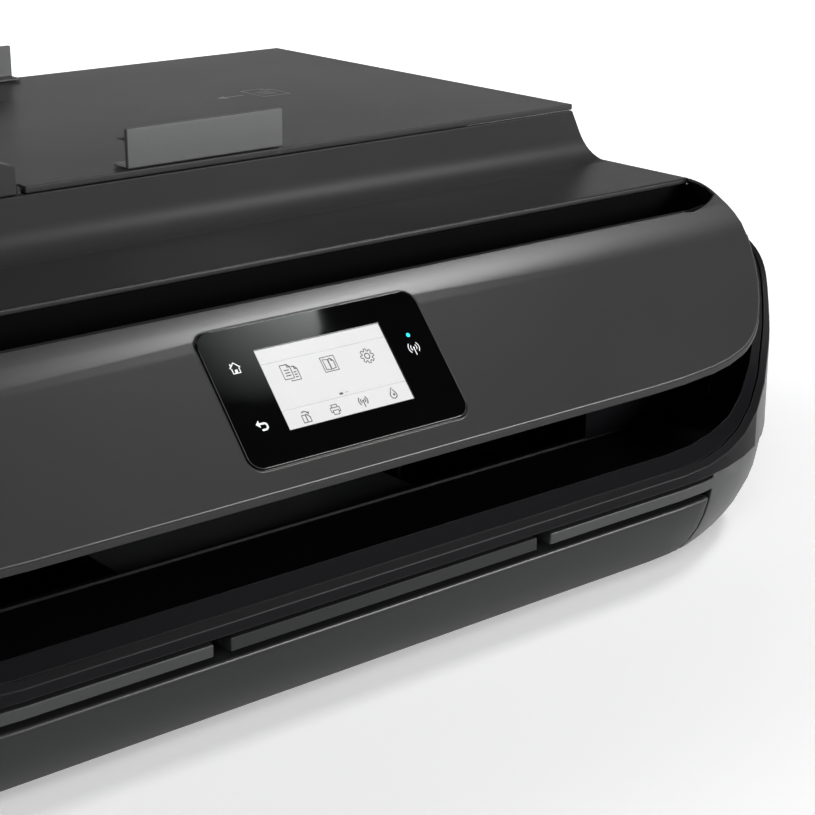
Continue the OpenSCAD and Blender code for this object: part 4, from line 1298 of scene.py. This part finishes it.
class PRINTER_OT_finishes(bpy.types.Operator):
    """Gives every frame node the finish of its material slot"""

    bl_idname = "printer.finishes"
    bl_label = "Frame finishes"

    def execute(self, context):
        gear_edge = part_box("idler_gear")[1][0]
        for node, thing in NODES.items():
            if node in ROLLERS:
                shaft, tyres, along, geared = ROLLERS[node]
                material = roller_finish(node, shaft, tyres, along, gear_edge if geared else None)
            else:
                material = FINISH_OF_NODE.get(node, FINISH_OF_SLOT[SLOT_OF[node]])()
            thing.data.materials.clear()
            thing.data.materials.append(material)
        return {"FINISHED"}


class PRINTER_OT_shells(bpy.types.Operator):
    """Makes the lower and middle shells and the output bowl with rounded edges"""

    bl_idname = "printer.shells"
    bl_label = "Shells and bowl"

    def execute(self, context):
        edge = shell_settings().soft_edge
        inner_edge = 0.7 * edge
        soft_copy("lower_shell", edge)
        # The rim edges of the bowl and middle shell get the lighter, glossier rim finish: painted
        # highlight lines.
        give_edges_highlight_finish(soft_copy("output_bowl", inner_edge), bowl_rim_highlight())
        shell = soft_copy("middle_shell", inner_edge)
        # Side and rear faces of the dark shell, picked by their facing, take the lighter shell
        # grey: painted light for the pale floor's reflection on the sides, and the rear gets the
        # same.
        recolour(shell, shell_grey(), self.is_side_or_back_painted_lighter)
        give_edges_highlight_finish(shell, bowl_rim_highlight())
        return {"FINISHED"}

    def is_side_or_back_painted_lighter(self, place, facing):
        return (abs(facing.x) > 0.4 or facing.y > 0.4) and abs(facing.z) < 0.5


class PRINTER_OT_scanner(bpy.types.Operator):
    """Makes the scanner housing, the fascia, the scan bar and the lid with rounded edges"""

    bl_idname = "printer.scanner"
    bl_label = "Scanner unit and lid"

    def execute(self, context):
        shell = shell_settings()
        soften(panel_glass="fine", power_button="fine", scan_bar="fine")
        # The lid's edges get the glossy edge finish: a painted highlight line.
        give_edges_highlight_finish(soft_copy("lid", shell.soft_edge), edge_highlight_finish())
        fascia = soft_copy("fascia", shell.roll_edge, 3)
        housing = soft_copy("scanner_housing", shell.soft_edge)
        self.blacken_scoop(fascia, housing)
        self.close_scoop_ends()
        self.seal_seams()
        return {"FINISHED"}

    def blacken_scoop(self, fascia, housing):
        """Blackens the scoop in the fascia, between its grey shoulders, and the wall behind it:
        partly a black moulding, partly painted shade under the lid, its inner end walls included.
        """
        end, rear, fascia_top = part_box("fascia")[1]
        housing_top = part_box("scanner_housing")[1][2]
        front = rear - panel_settings().scoop_depth
        floor = fascia_top - 0.018
        shoulder_start, shoulder_floor = end - 0.027, fascia_top - 0.0075
        wall_foot, wall_reach = housing_top - 0.014, rear + 0.002

        def in_scoop(place, facing):
            faces_out = facing.x * place.x >= 0.9 * abs(place.x)
            on_shoulder = (
                abs(place.x) > shoulder_start and facing.z > 0.55 and place.z > shoulder_floor
            )
            return place.y > front and place.z > floor and not faces_out and not on_shoulder

        def on_wall(place, facing):
            return facing.y < -0.9 and place.z > wall_foot and place.y < wall_reach

        recolour(fascia, recess_black_and_shade(), in_scoop)
        recolour(housing, recess_black_and_shade(), on_wall)

    def close_scoop_ends(self):
        """Upright slips that close the gap between fascia and housing at both ends."""
        end, rear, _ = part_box("fascia")[1]
        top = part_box("scanner_housing")[1][2]
        inset = 0.0013
        self.add_strips(
            "fascia",
            "scoop_closers",
            places=(inset - end, end - inset),
            half=0.0009,
            depth=(rear - 0.0028, rear + 0.0024),
            height=(top - 0.0163, top + 0.0002),
            edge=0.0002,
        )

    def seal_seams(self):
        """Strips inside the side seams between the scanner unit and the middle shell."""
        low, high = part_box("scanner_housing")
        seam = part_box("middle_shell")[1][2]
        inset = 0.0008
        self.add_strips(
            "scanner_housing",
            "seam_seals",
            places=(low[0] + inset, high[0] - inset),
            half=0.0007,
            depth=(-0.098, 0.158),
            height=(seam - 0.0022, seam + 0.0016),
            edge=0.0003,
        )

    def add_strips(self, node, name, places, half, depth, height, edge):
        """Black strips beside a node, at places given across the part."""
        (front, rear), (foot, head) = depth, height
        strips = bmesh.new()
        corners = [((x - half, front, foot), (x + half, rear, head)) for x in places]
        boxes(strips, corners, edge)
        add_beside(node, name, strips, recess_black_and_shade())


class PRINTER_OT_fascia_lip(bpy.types.Operator):
    """Turns a narrow lip down from the fascia's lower edge"""

    bl_idname = "printer.fascia_lip"
    bl_label = "Fascia lip"

    def execute(self, context):
        panel = panel_settings()
        shape = merged_shape("fascia")
        self.keep_only(shape, self.lower_rim(shape))
        level = {
            v: max(abs((e.verts[0].co - e.verts[1].co).normalized().x) for e in v.link_edges)
            for v in shape.verts
        }
        steep = [v for v, flatness in level.items() if flatness < 0.06]
        bmesh.ops.delete(shape, geom=steep, context="VERTS")
        top = list(shape.verts)
        drops = [(v.co.copy(), panel.lip_height * level[v]) for v in top]
        grown = bmesh.ops.extrude_edge_only(shape, edges=shape.edges[:])
        inward, tuck = 0.0001, 0.0002
        for vert in new_verts(grown):
            drop = min(drops, key=lambda known: (known[0] - vert.co).length)[1]
            vert.co += Vector((0, inward, -drop))
        for vert in top:
            vert.co += Vector((0, inward, -tuck))
        bmesh.ops.recalc_face_normals(shape, faces=shape.faces)
        lip = add_beside("fascia", "fascia_lip", shape, lid_plastic())
        wall = lip.modifiers.new("Wall", "SOLIDIFY")
        wall.thickness = panel.lip_wall
        wall.offset = -1 if lip.data.polygons[0].normal.y < 0 else 1
        round_edges(lip, 0.0002)
        return {"FINISHED"}

    def lower_rim(self, shape):
        """Edges of the chain that bounds the fascia's front face, from its lowest corner on."""
        outward, _ = panel_directions()

        def bounds_front(edge):
            facings = [face.normal.dot(outward) for face in edge.link_faces]
            return len(facings) == 2 and max(facings) > 0.999 and abs(min(facings)) < 0.1

        rim = {edge for edge in shape.edges if bounds_front(edge)}
        corners = (v for edge in rim for v in edge.verts)
        reached = [min(corners, key=lambda v: (round(v.co.z, 5), v.co.x))]
        chain = set()
        while reached:
            for edge in reached.pop().link_edges:
                if edge in rim and edge not in chain:
                    chain.add(edge)
                    reached.extend(edge.verts)
        return chain

    def keep_only(self, shape, chain):
        """Clears away all but the edges of the chain."""
        others = [edge for edge in shape.edges if edge not in chain]
        bmesh.ops.delete(shape, geom=others, context="EDGES_FACES")
        bmesh.ops.delete(shape, geom=shape.faces[:], context="FACES_ONLY")
        loose = [v for v in shape.verts if not v.link_edges]
        bmesh.ops.delete(shape, geom=loose, context="VERTS")


class PRINTER_OT_feeder(bpy.types.Operator):
    """Makes the document feeder's base, cover, tray and guides with rounded edges"""

    bl_idname = "printer.feeder"
    bl_label = "Document feeder"

    def execute(self, context):
        soften(
            feeder_base="soft",
            feeder_cover="soft",
            feeder_tray="soft",
            feeder_guide_rear="soft",
            feeder_guide_front="soft",
        )
        return {"FINISHED"}


class PRINTER_OT_paper_trays(bpy.types.Operator):
    """Makes the paper drawer, its guides and the tray extender with rounded edges"""

    bl_idname = "printer.paper_trays"
    bl_label = "Paper trays"

    def execute(self, context):
        front = soft_copy("drawer_front", shell_settings().full_edge, 3)
        # The drawer front's rounded edges take the lighter, glossier fascia plastic: a painted
        # highlight line along its top.
        give_edges_highlight_finish(front, fascia_plastic())
        soften(
            drawer_tray="fine",
            tray_extender="fine",
            extender_tip="fine",
            left_width_guide="fine",
            right_width_guide="fine",
            length_guide="fine",
        )
        return {"FINISHED"}


class PRINTER_OT_print_engine(bpy.types.Operator):
    """Makes the carriage, cartridges, platen, service parts and rear door with rounded edges"""

    bl_idname = "printer.print_engine"
    bl_label = "Print engine"

    def execute(self, context):
        soften(
            print_carriage="fine",
            black_cartridge="soft",
            colour_cartridge="soft",
            left_latch="fine",
            right_latch="fine",
            platen="fine",
            paper_guide="soft",
            service_station="fine",
            cap_sled="fine",
            ink_absorber="soft",
            power_supply="soft",
            power_inlet="fine",
            rear_door="soft",
        )
        return {"FINISHED"}


class PRINTER_OT_panel_marks(bpy.types.Operator):
    """Prints the home, back and wireless marks on the panel glass, and sets the lamp"""

    bl_idname = "printer.panel_marks"
    bl_label = "Panel marks"

    def execute(self, context):
        plane = panel_plane("panel_glass")
        marks = MarkSheet()
        self.draw_home(marks)
        self.draw_back(marks)
        marks.at(35.4, 3.4)
        draw_wireless(marks, 2.9, 0.36)
        marks.lay("panel_marks", plane, mark_white(), "scanner")
        lamp = MarkSheet()
        lamp.dot(35.5, 8.3, 0.78, 0.16)
        lamp.lay("wireless_lamp", plane, lamp_glow(), "scanner")
        return {"FINISHED"}

    def draw_home(self, marks):
        """House with its door and chimney."""
        marks.at(-35.4, 10.6)
        marks.line([(-2.0, 0.1), (0, 2.0), (2.0, 0.1)])
        marks.line([(-1.4, 0), (-1.4, -1.8), (1.4, -1.8), (1.4, 0)])
        marks.patch([(-0.5, -1.8), (0.5, -1.8), (0.5, -0.5), (-0.5, -0.5)])
        marks.line([(-1.35, 1.0), (-1.35, 1.75)], 0.45)

    def draw_back(self, marks):
        """Arrow that turns back to the left."""
        marks.at(-35.2, -10.8)
        bend = arc(0.8, -0.2, 1.1, -80, 90, 10)
        marks.line([(-0.6, -1.3), (0.8, -1.3), *bend, (-0.8, 0.9)], 0.7)
        marks.patch([(-2.2, 0.9), (-0.7, -0.45), (-0.7, 2.25)])


class PRINTER_OT_screen_marks(bpy.types.Operator):
    """Draws the icons, the thin rules and the page mark of the lit screen"""

    bl_idname = "printer.screen_marks"
    bl_label = "Screen marks"

    def execute(self, context):
        plane = panel_plane("screen")
        width = panel_settings().icon_line / MM
        icons = MarkSheet(width)
        self.draw_copy(icons)
        self.draw_scan(icons)
        self.draw_setup(icons)
        self.draw_quick_copy(icons)
        self.draw_printer(icons)
        icons.at(5.9, -11.1)
        draw_wireless(icons, 2.3)
        self.draw_ink(icons)
        page_mark = -6.8
        icons.at(0, page_mark)
        icons.line([(-1.7, 0), (-0.4, 0)], width * 2.0)
        icons.lay("screen_icons", plane, icon_grey(), "scanner")
        rules = MarkSheet(width * 0.7)
        reach = 25.6
        rules.rows(-reach, reach, (9.3, -7.9))
        rules.line([(0.7, page_mark), (1.9, page_mark)], width * 1.4)
        rules.lay("screen_rules", plane, rule_grey(), "scanner")
        return {"FINISHED"}

    def draw_copy(self, icons):
        """Two written pages, one behind the other."""
        icons.at(-16.1, 4.9)
        draw_page(icons, -3.1, -2.5, 0.6, 2.7, 1.0)
        icons.rows(-2.2, -0.2, (0.7, -0.3, -1.3))
        icons.line([(1.1, 1.6), (2.0, 1.6), (3.0, 0.6), (3.0, -3.4), (-0.8, -3.4), (-0.8, -3.0)])
        icons.line([(2.0, 1.6), (2.0, 0.6), (3.0, 0.6)])
        icons.rows(1.2, 2.3, (-0.5, -1.4, -2.3))

    def draw_scan(self, icons):
        """Open book with a folded corner, in a frame."""
        icons.at(-0.2, 4.4)
        icons.loop([(-2.8, -2.7), (2.8, -2.7), (2.8, 2.7), (-2.8, 2.7)])
        icons.loop([(-2.0, 1.9), (-0.1, 1.6), (-0.1, -2.1), (-2.0, -1.8)])
        icons.loop([(0.1, 1.6), (1.0, 1.9), (2.0, 0.8), (2.0, -1.8), (0.1, -2.1)])
        icons.patch([(0.9, 1.9), (2.0, 0.8), (1.1, 0.8)])

    def draw_setup(self, icons):
        """Toothed wheel."""
        icons.at(15.6, 4.0)
        teeth, root, tip = 8, 1.95, 2.7
        icons.loop([
            polar(0, 0, radius, 360 / teeth * tooth + offset)
            for tooth in range(teeth)
            for offset, radius in ((-15, root), (-9, tip), (9, tip), (15, root))
        ])
        icons.loop(arc(0, 0, 1.0, 0, 345, 23))

    def draw_quick_copy(self, icons):
        """Cut page with an arrow over it."""
        icons.at(-17.9, -11.7)
        icons.loop([(-1.6, 0.8), (0.5, 0.8), (1.4, -0.2), (1.4, -1.9), (-1.6, -1.9)])
        icons.line([(-0.1, 0.8), (-0.1, -1.9)])
        icons.line(arc(-0.2, 0.4, 1.6, 130, 30, 8))
        icons.patch([(0.7, 1.6), (1.8, 1.6), (1.3, 0.7)])

    def draw_printer(self, icons):
        icons.at(-6.0, -11.5)
        body = [(-1.1, -1.0), (-1.8, -1.0), (-1.8, 0.6), (1.8, 0.6), (1.8, -1.0), (1.1, -1.0)]
        icons.line(body)
        icons.line([(-1.1, 0.6), (-1.1, 1.6), (1.1, 1.6), (1.1, 0.6)])
        icons.loop([(-1.1, -0.4), (1.1, -0.4), (1.1, -1.9), (-1.1, -1.9)])

    def draw_ink(self, icons):
        """Drop with a light in it."""
        icons.at(18.6, -11.2)
        icons.loop([(0, 2.2), (-0.8, 0.6), *arc(0, -0.5, 1.3, 150, 390, 14), (0.8, 0.6)])
        icons.dot(0.25, -0.4, 0.45)


class PRINTER_OT_button_mark(bpy.types.Operator):
    """Prints the standby ring on the power button"""

    bl_idname = "printer.button_mark"
    bl_label = "Power button mark"

    def execute(self, context):
        mark = MarkSheet()
        mark.line(arc(0, -0.2, 2.5, 125, 415, 24))
        mark.line([(0, 0.3), (0, 2.9)])
        plane = panel_plane("power_button")
        mark.lay("power_mark", plane, mark_grey(), "power_button")
        return {"FINISHED"}


class PRINTER_OT_paper_marks(bpy.types.Operator):
    """Moulds the page and arrow marks on the feeder tray and beside the scanner glass"""

    bl_idname = "printer.paper_marks"
    bl_label = "Paper marks"

    def execute(self, context):
        low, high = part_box("feeder_tray")
        page = MarkSheet(0.7)
        draw_page(page, -7, -9, 7, 9, 4)
        page.rows(-4, 4, (2.5, -0.5, -3.5))
        page.line([(-12, 0), (-22, 0)], 0.9)
        page.patch([(-26, 0), (-21, -2.6), (-21, 2.6)], 0.06)
        plane = level_plane(high[0] - 0.085, (low[1] + high[1]) / 2, high[2])
        page.lay("feeder_page_mark", plane, mark_grey(), "feeder_tray")
        (left, _, _), (_, rear, top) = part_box("scanner_glass")
        beside = 0.0012
        corner = MarkSheet()
        corner.patch([(0, 0), (-5, 1.8), (-1.8, 5)], 0.06)
        corner.line([(-8, 1.5), (-8, 8), (-1.5, 8)])
        plane = level_plane(left - beside, rear + beside, top)
        corner.lay("glass_corner_mark", plane, mark_white(), "scanner")
        return {"FINISHED"}


class PRINTER_OT_cartridge_labels(bpy.types.Operator):
    """Lays a cap label with its colour dots on each cartridge"""

    bl_idname = "printer.cartridge_labels"
    bl_label = "Cartridge labels"

    def execute(self, context):
        self.label("black_cartridge", ((0, chip_black),))
        self.label("colour_cartridge", ((-7, dye_cyan), (0, dye_magenta), (7, dye_yellow)))
        return {"FINISHED"}

    def label(self, node, dots):
        """Thin label behind the front edge of the cap, with dots given by offset and finish."""
        low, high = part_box(node)
        x, half_width, half_depth = (low[0] + high[0]) / 2, 0.012, 0.0135
        front = low[1] + 0.0035
        cap = high[2] - 0.003
        top = cap + 0.0002
        shape = bmesh.new()
        corners = (
            (x - half_width, front, cap - 0.0001),
            (x + half_width, front + 2 * half_depth, top),
        )
        boxes(shape, [corners], 0.0001)
        body = BODY_OF[node]
        shade_smooth(add_piece(node + "_label", shape, guide_plastic(), body))
        for number, (offset, finish) in enumerate(dots, 1):
            spot = MarkSheet()
            spot.dot(offset, 0, 2.4, 0.25)
            plane = level_plane(x, front + half_depth, top)
            spot.lay(f"{node}_dot_{number}", plane, finish(), body)


class PRINTER_OT_board_parts(bpy.types.Operator):
    """Solders the chips' legs and three round capacitors on the main board"""

    bl_idname = "printer.board_parts"
    bl_label = "Board parts"

    def execute(self, context):
        left, front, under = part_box("main_board")[0]
        board = under + 0.0016
        pitch, leg_half, leg_length, leg_height = 0.23, 0.0003, 0.0016, 0.0006
        legs = bmesh.new()
        for x, y, half in ((0.018, 0.020, 0.008), (0.041, 0.039, 0.009)):
            for side in (-1, 1):
                start = left + x + side * half
                inner, outer = sorted((start, start + side * leg_length))
                for number in range(8):
                    along = front + y + (number - 3.5) * half * pitch
                    boxes(legs, [(
                        (inner, along - leg_half, board),
                        (outer, along + leg_half, board + leg_height),
                    )])
        add_piece("board_legs", legs, screw_zinc(), "root")
        cans = bmesh.new()
        for x, y in ((0.008, 0.070), (0.020, 0.082), (0.008, 0.092)):
            pin(cans, 0.0032, 0.009, level_plane(left + x, front + y, board), 0.15)
        shade_smooth(add_piece("board_capacitors", cans, motor_steel(), "root"))
        return {"FINISHED"}


class PRINTER_OT_socket_parts(bpy.types.Operator):
    """Sets the two pins of the power inlet and the contact tongue of the data socket"""

    bl_idname = "printer.socket_parts"
    bl_label = "Socket parts"

    def execute(self, context):
        self.set_power_pins()
        self.set_data_tongue()
        return {"FINISHED"}

    def set_power_pins(self):
        low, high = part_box("power_inlet")
        x, _, z = middle_of(low, high)
        foot, spread = high[1] - 0.0125, 0.0043
        rearward = Matrix.Rotation(-QUARTER_TURN, 4, "X")
        pins = bmesh.new()
        for side in (-1, 1):
            pin(pins, 0.0012, 0.0085, level_plane(x + side * spread, foot, z) @ rearward, 0.6)
        shade_smooth(add_piece("power_pins", pins, screw_zinc(), "root"))

    def set_data_tongue(self):
        """Tongue in the data socket, with two contacts on its upper and its lower face."""
        openings = frame["record"]["physics"]["openings"]
        low, high = next(o["box_m"] for o in openings if o["name"] == "data_socket")
        x, _, z = middle_of(low, high)
        front = low[1]
        half_width, half_height = 0.0028, 0.0016
        tongue = bmesh.new()
        boxes(tongue, [(
            (x - half_width, front - 0.0012, z - half_height),
            (x + half_width, front + 0.007, z + half_height),
        )], 0.0003)
        shade_smooth(add_piece("data_tongue", tongue, white_resin(), "root"))
        half_contact, half_skin = 0.0004, 0.0001
        contacts = bmesh.new()
        for level in (z - half_height, z + half_height):
            for middle in (x - 0.0013, x + 0.0013):
                boxes(contacts, [(
                    (middle - half_contact, front, level - half_skin),
                    (middle + half_contact, front + 0.006, level + half_skin),
                )], 0.00004)
        add_piece("data_contacts", contacts, gold_contact(), "root")


class PRINTER_OT_screws(bpy.types.Operator):
    """Drives the case screws under the base and in the back"""

    bl_idname = "printer.screws"
    bl_label = "Case screws"

    def execute(self, context):
        head = 0.0034
        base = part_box("lower_shell")[0][2]
        under = bmesh.new()
        places = ((-0.150, -0.118), (0.150, -0.118), (-0.150, 0.128), (0.150, 0.128), (0, 0.150))
        for x, y in places:
            screw(under, head, under_plane(x, y, base))
        shade_smooth(add_piece("base_screws", under, screw_zinc(), "root"))
        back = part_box("middle_shell")[1][1]
        behind = bmesh.new()
        for x in (-0.168, 0.168):
            screw(behind, head, back_plane(x, back, 0.060))
        shade_smooth(add_piece("back_screws", behind, screw_zinc(), "root"))
        return {"FINISHED"}


class PRINTER_OT_door_grips(bpy.types.Operator):
    """Moulds the finger ribs on the rear door"""

    bl_idname = "printer.door_grips"
    bl_label = "Rear door grips"

    def execute(self, context):
        _, rear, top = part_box("rear_door")[1]
        half, spacing = 16, 2.4
        ribs = MarkSheet(1.2)
        for row in range(5):
            ribs.line([(-half, -row * spacing), (half, -row * spacing)], rise=0.5)
        material = NODES["rear_door"].data.materials[0]
        plane = back_plane(0, rear, top - 0.006)
        ribs.lay("door_grip_ribs", plane, material, "rear_door")
        return {"FINISHED"}


class PRINTER_OT_stage(bpy.types.Operator):
    """Sets the pale floor and wall, the soft lamps, the room light and the camera"""

    bl_idname = "printer.stage"
    bl_label = "Stage"

    def execute(self, context):
        stage = stage_settings()
        self.build_floor(stage)
        self.light_room(stage)
        self.hang_lamps(stage)
        self.set_camera(context, stage)
        return {"FINISHED"}

    def build_floor(self, stage):
        """Round floor just under the feet, which bends up into a low wall."""
        bend, level = stage.wall_bend, -0.0003
        flat = stage.floor_radius - bend
        rise = arc(flat, 0, bend, -90, 0, 10)[1:]
        profile = [(0, level), (flat, level)]
        profile += [(x, y + bend + level) for x, y in rise]
        profile.append((stage.floor_radius, stage.wall_height))
        sweep = bmesh.new()
        verts = [sweep.verts.new((x, 0, z)) for x, z in profile]
        for pair in zip(verts, verts[1:]):
            sweep.edges.new(pair)
        bmesh.ops.spin(
            sweep,
            geom=sweep.verts[:] + sweep.edges[:],
            axis=(0, 0, 1),
            cent=(0, 0, 0),
            angle=math.tau,
            steps=96,
            use_merge=True,
        )
        bmesh.ops.remove_doubles(sweep, verts=sweep.verts, dist=1e-5)
        bmesh.ops.recalc_face_normals(sweep, faces=sweep.faces)
        mesh = bpy.data.meshes.new("studio_floor")
        sweep.to_mesh(mesh)
        sweep.free()
        if mesh.polygons[0].normal.z < 0:
            mesh.flip_normals()
        smooth_faces(mesh)
        mesh.materials.append(self.floor_finish(stage))
        floor = bpy.data.objects.new("studio_floor", mesh)
        bpy.context.scene.collection.objects.link(floor)

    def floor_finish(self, stage):
        """Pale and matt, and lifted to white away from the printer where it is seen."""
        finish = Finish(
            "Studio floor", Roughness=0.85, Specular_IOR_Level=0.1, Emission_Strength=1.0
        )
        pale = tuple(stage.floor_colour)
        tone = finish.blend(finish.noise(finish.place, 3.0, 2.0), dimmed(pale, 0.985), pale)
        seen = finish.node("LightPath").outputs
        mirrored = finish.math("MAXIMUM", seen["Is Glossy Ray"], seen["Is Transmission Ray"])
        shown = finish.math("MAXIMUM", seen["Is Camera Ray"], mirrored)
        distance = finish.vector("LENGTH", a=finish.place)["Value"]
        near, far, least = 0.25, 1.2, 0.3
        glow = finish.times(shown, finish.span(distance, near, far, least, stage.floor_glow))
        finish.feed(
            Base_Color=tone, Emission_Color=finish.blend(glow, (0, 0, 0), (1, 1, 1))
        )
        return finish.material

    def light_room(self, stage):
        world = bpy.data.worlds.new("Room")
        world.use_nodes = True
        world.node_tree.nodes.clear()
        bench = NodeBench(world.node_tree)
        room = bench.node("Background")
        room.inputs["Color"].default_value = (0.97, 0.985, 1.0, 1)
        room.inputs["Strength"].default_value = stage.world_level
        bench.join(room.outputs[0], bench.node("OutputWorld").inputs["Surface"])
        bpy.context.scene.world = world

    def hang_lamps(self, stage):
        front = (0.0, -0.05, 0.08)
        self.hang("front_softbox", stage.key_power, (-0.9, -1.5, 1.9), front, (1.3, 1.0))
        self.hang(
            "overhead_strip",
            stage.strip_power,
            (1.21, -0.26, 1.77),
            (0.0, -0.13, 0.1),
            (0.42, 0.34),
        )
        self.hang("rear_softbox", stage.rear_power, (-1.1, 1.9, 1.3), (0.0, 0.1, 0.08), (0.9, 0.9))
        self.hang("right_softbox", stage.side_power, (1.2, -1.75, 0.5), front, (0.7, 0.6))
        card = self.hang(
            "panel_card",
            stage.card_power,
            (1.068, -0.914, 1.609),
            (0.0, -0.152, 0.1),
            (0.19, 0.125),
        )
        turned = card.rotation_euler.to_matrix() @ Matrix.Rotation(stage.card_turn, 3, "Z")
        card.rotation_euler = turned.to_euler()
        self.fade(card.data)

    def hang(self, name, power, place, aim, size):
        """Rectangular lamp of that width and height at a place, turned to its aim."""
        lamp = bpy.data.lights.new(name, "AREA")
        lamp.shape = "RECTANGLE"
        lamp.size, lamp.size_y = size
        lamp.energy = power
        holder = bpy.data.objects.new(name, lamp)
        holder.location = place
        self.turn_to(holder, Vector(aim) - Vector(place))
        bpy.context.scene.collection.objects.link(holder)
        return holder

    def turn_to(self, holder, aim):
        holder.rotation_euler = aim.to_track_quat("-Z", "Y").to_euler()

    def fade(self, lamp):
        """Lets the card fade out to its left and downwards."""
        lamp.use_nodes = True
        lamp.node_tree.nodes.clear()
        bench = NodeBench(lamp.node_tree)
        across = bench.axes(bench.node("NewGeometry").outputs["Parametric"])
        glow = bench.node("Emission")
        glow.inputs["Color"].default_value = (0.93, 1.0, 0.96, 1)
        bench.join(bench.times(across["X"], across["Y"]), glow.inputs["Strength"])
        bench.join(glow.outputs[0], bench.node("OutputLight").inputs["Surface"])

    def set_camera(self, context, stage):
        lens = bpy.data.cameras.new("camera")
        lens.lens = stage.camera_lens
        lens.sensor_width = 36
        lens.clip_start = 0.01
        camera = bpy.data.objects.new("camera", lens)
        camera.location = stage.camera_place
        yaw, pitch = stage.camera_yaw, stage.camera_pitch
        level = math.cos(pitch)
        aim = Vector((math.sin(yaw) * level, math.cos(yaw) * level, -math.sin(pitch)))
        self.turn_to(camera, aim)
        context.scene.collection.objects.link(camera)
        context.scene.camera = camera
        context.scene.view_settings.view_transform = "Standard"


PIECE_OPERATORS = (
    PRINTER_OT_stage,
    PRINTER_OT_finishes,
    PRINTER_OT_shells,
    PRINTER_OT_scanner,
    PRINTER_OT_fascia_lip,
    PRINTER_OT_feeder,
    PRINTER_OT_paper_trays,
    PRINTER_OT_print_engine,
    PRINTER_OT_panel_marks,
    PRINTER_OT_screen_marks,
    PRINTER_OT_button_mark,
    PRINTER_OT_paper_marks,
    PRINTER_OT_cartridge_labels,
    PRINTER_OT_board_parts,
    PRINTER_OT_socket_parts,
    PRINTER_OT_screws,
    PRINTER_OT_door_grips,
)


class PRINTER_PT_pieces(bpy.types.Panel):
    """Lists the pieces and their settings in the sidebar"""

    bl_idname = "PRINTER_PT_pieces"
    bl_label = "Inkjet printer"
    bl_space_type = "VIEW_3D"
    bl_region_type = "UI"
    bl_category = "Printer"

    def draw(self, context):
        for settings in (shell_settings(), panel_settings(), stage_settings()):
            group = self.layout.box()
            for name in settings.bl_rna.properties.keys():
                if name not in ("rna_type", "name"):
                    group.prop(settings, name)
        for operator in PIECE_OPERATORS:
            self.layout.operator(operator.bl_idname)


CLASSES = (ShellSettings, PanelSettings, StageSettings, *PIECE_OPERATORS, PRINTER_PT_pieces)


def register():
    for cls in CLASSES:
        bpy.utils.register_class(cls)
    bpy.types.Scene.printer_shell = bpy.props.PointerProperty(type=ShellSettings)
    bpy.types.Scene.printer_panel = bpy.props.PointerProperty(type=PanelSettings)
    bpy.types.Scene.printer_stage = bpy.props.PointerProperty(type=StageSettings)


def unregister():
    del bpy.types.Scene.printer_stage
    del bpy.types.Scene.printer_panel
    del bpy.types.Scene.printer_shell
    for cls in reversed(CLASSES):
        bpy.utils.unregister_class(cls)


def main():
    register()
    for operator in PIECE_OPERATORS:
        getattr(bpy.ops.printer, operator.bl_idname.split(".")[1])()


if __name__ == "__main__":
    main()
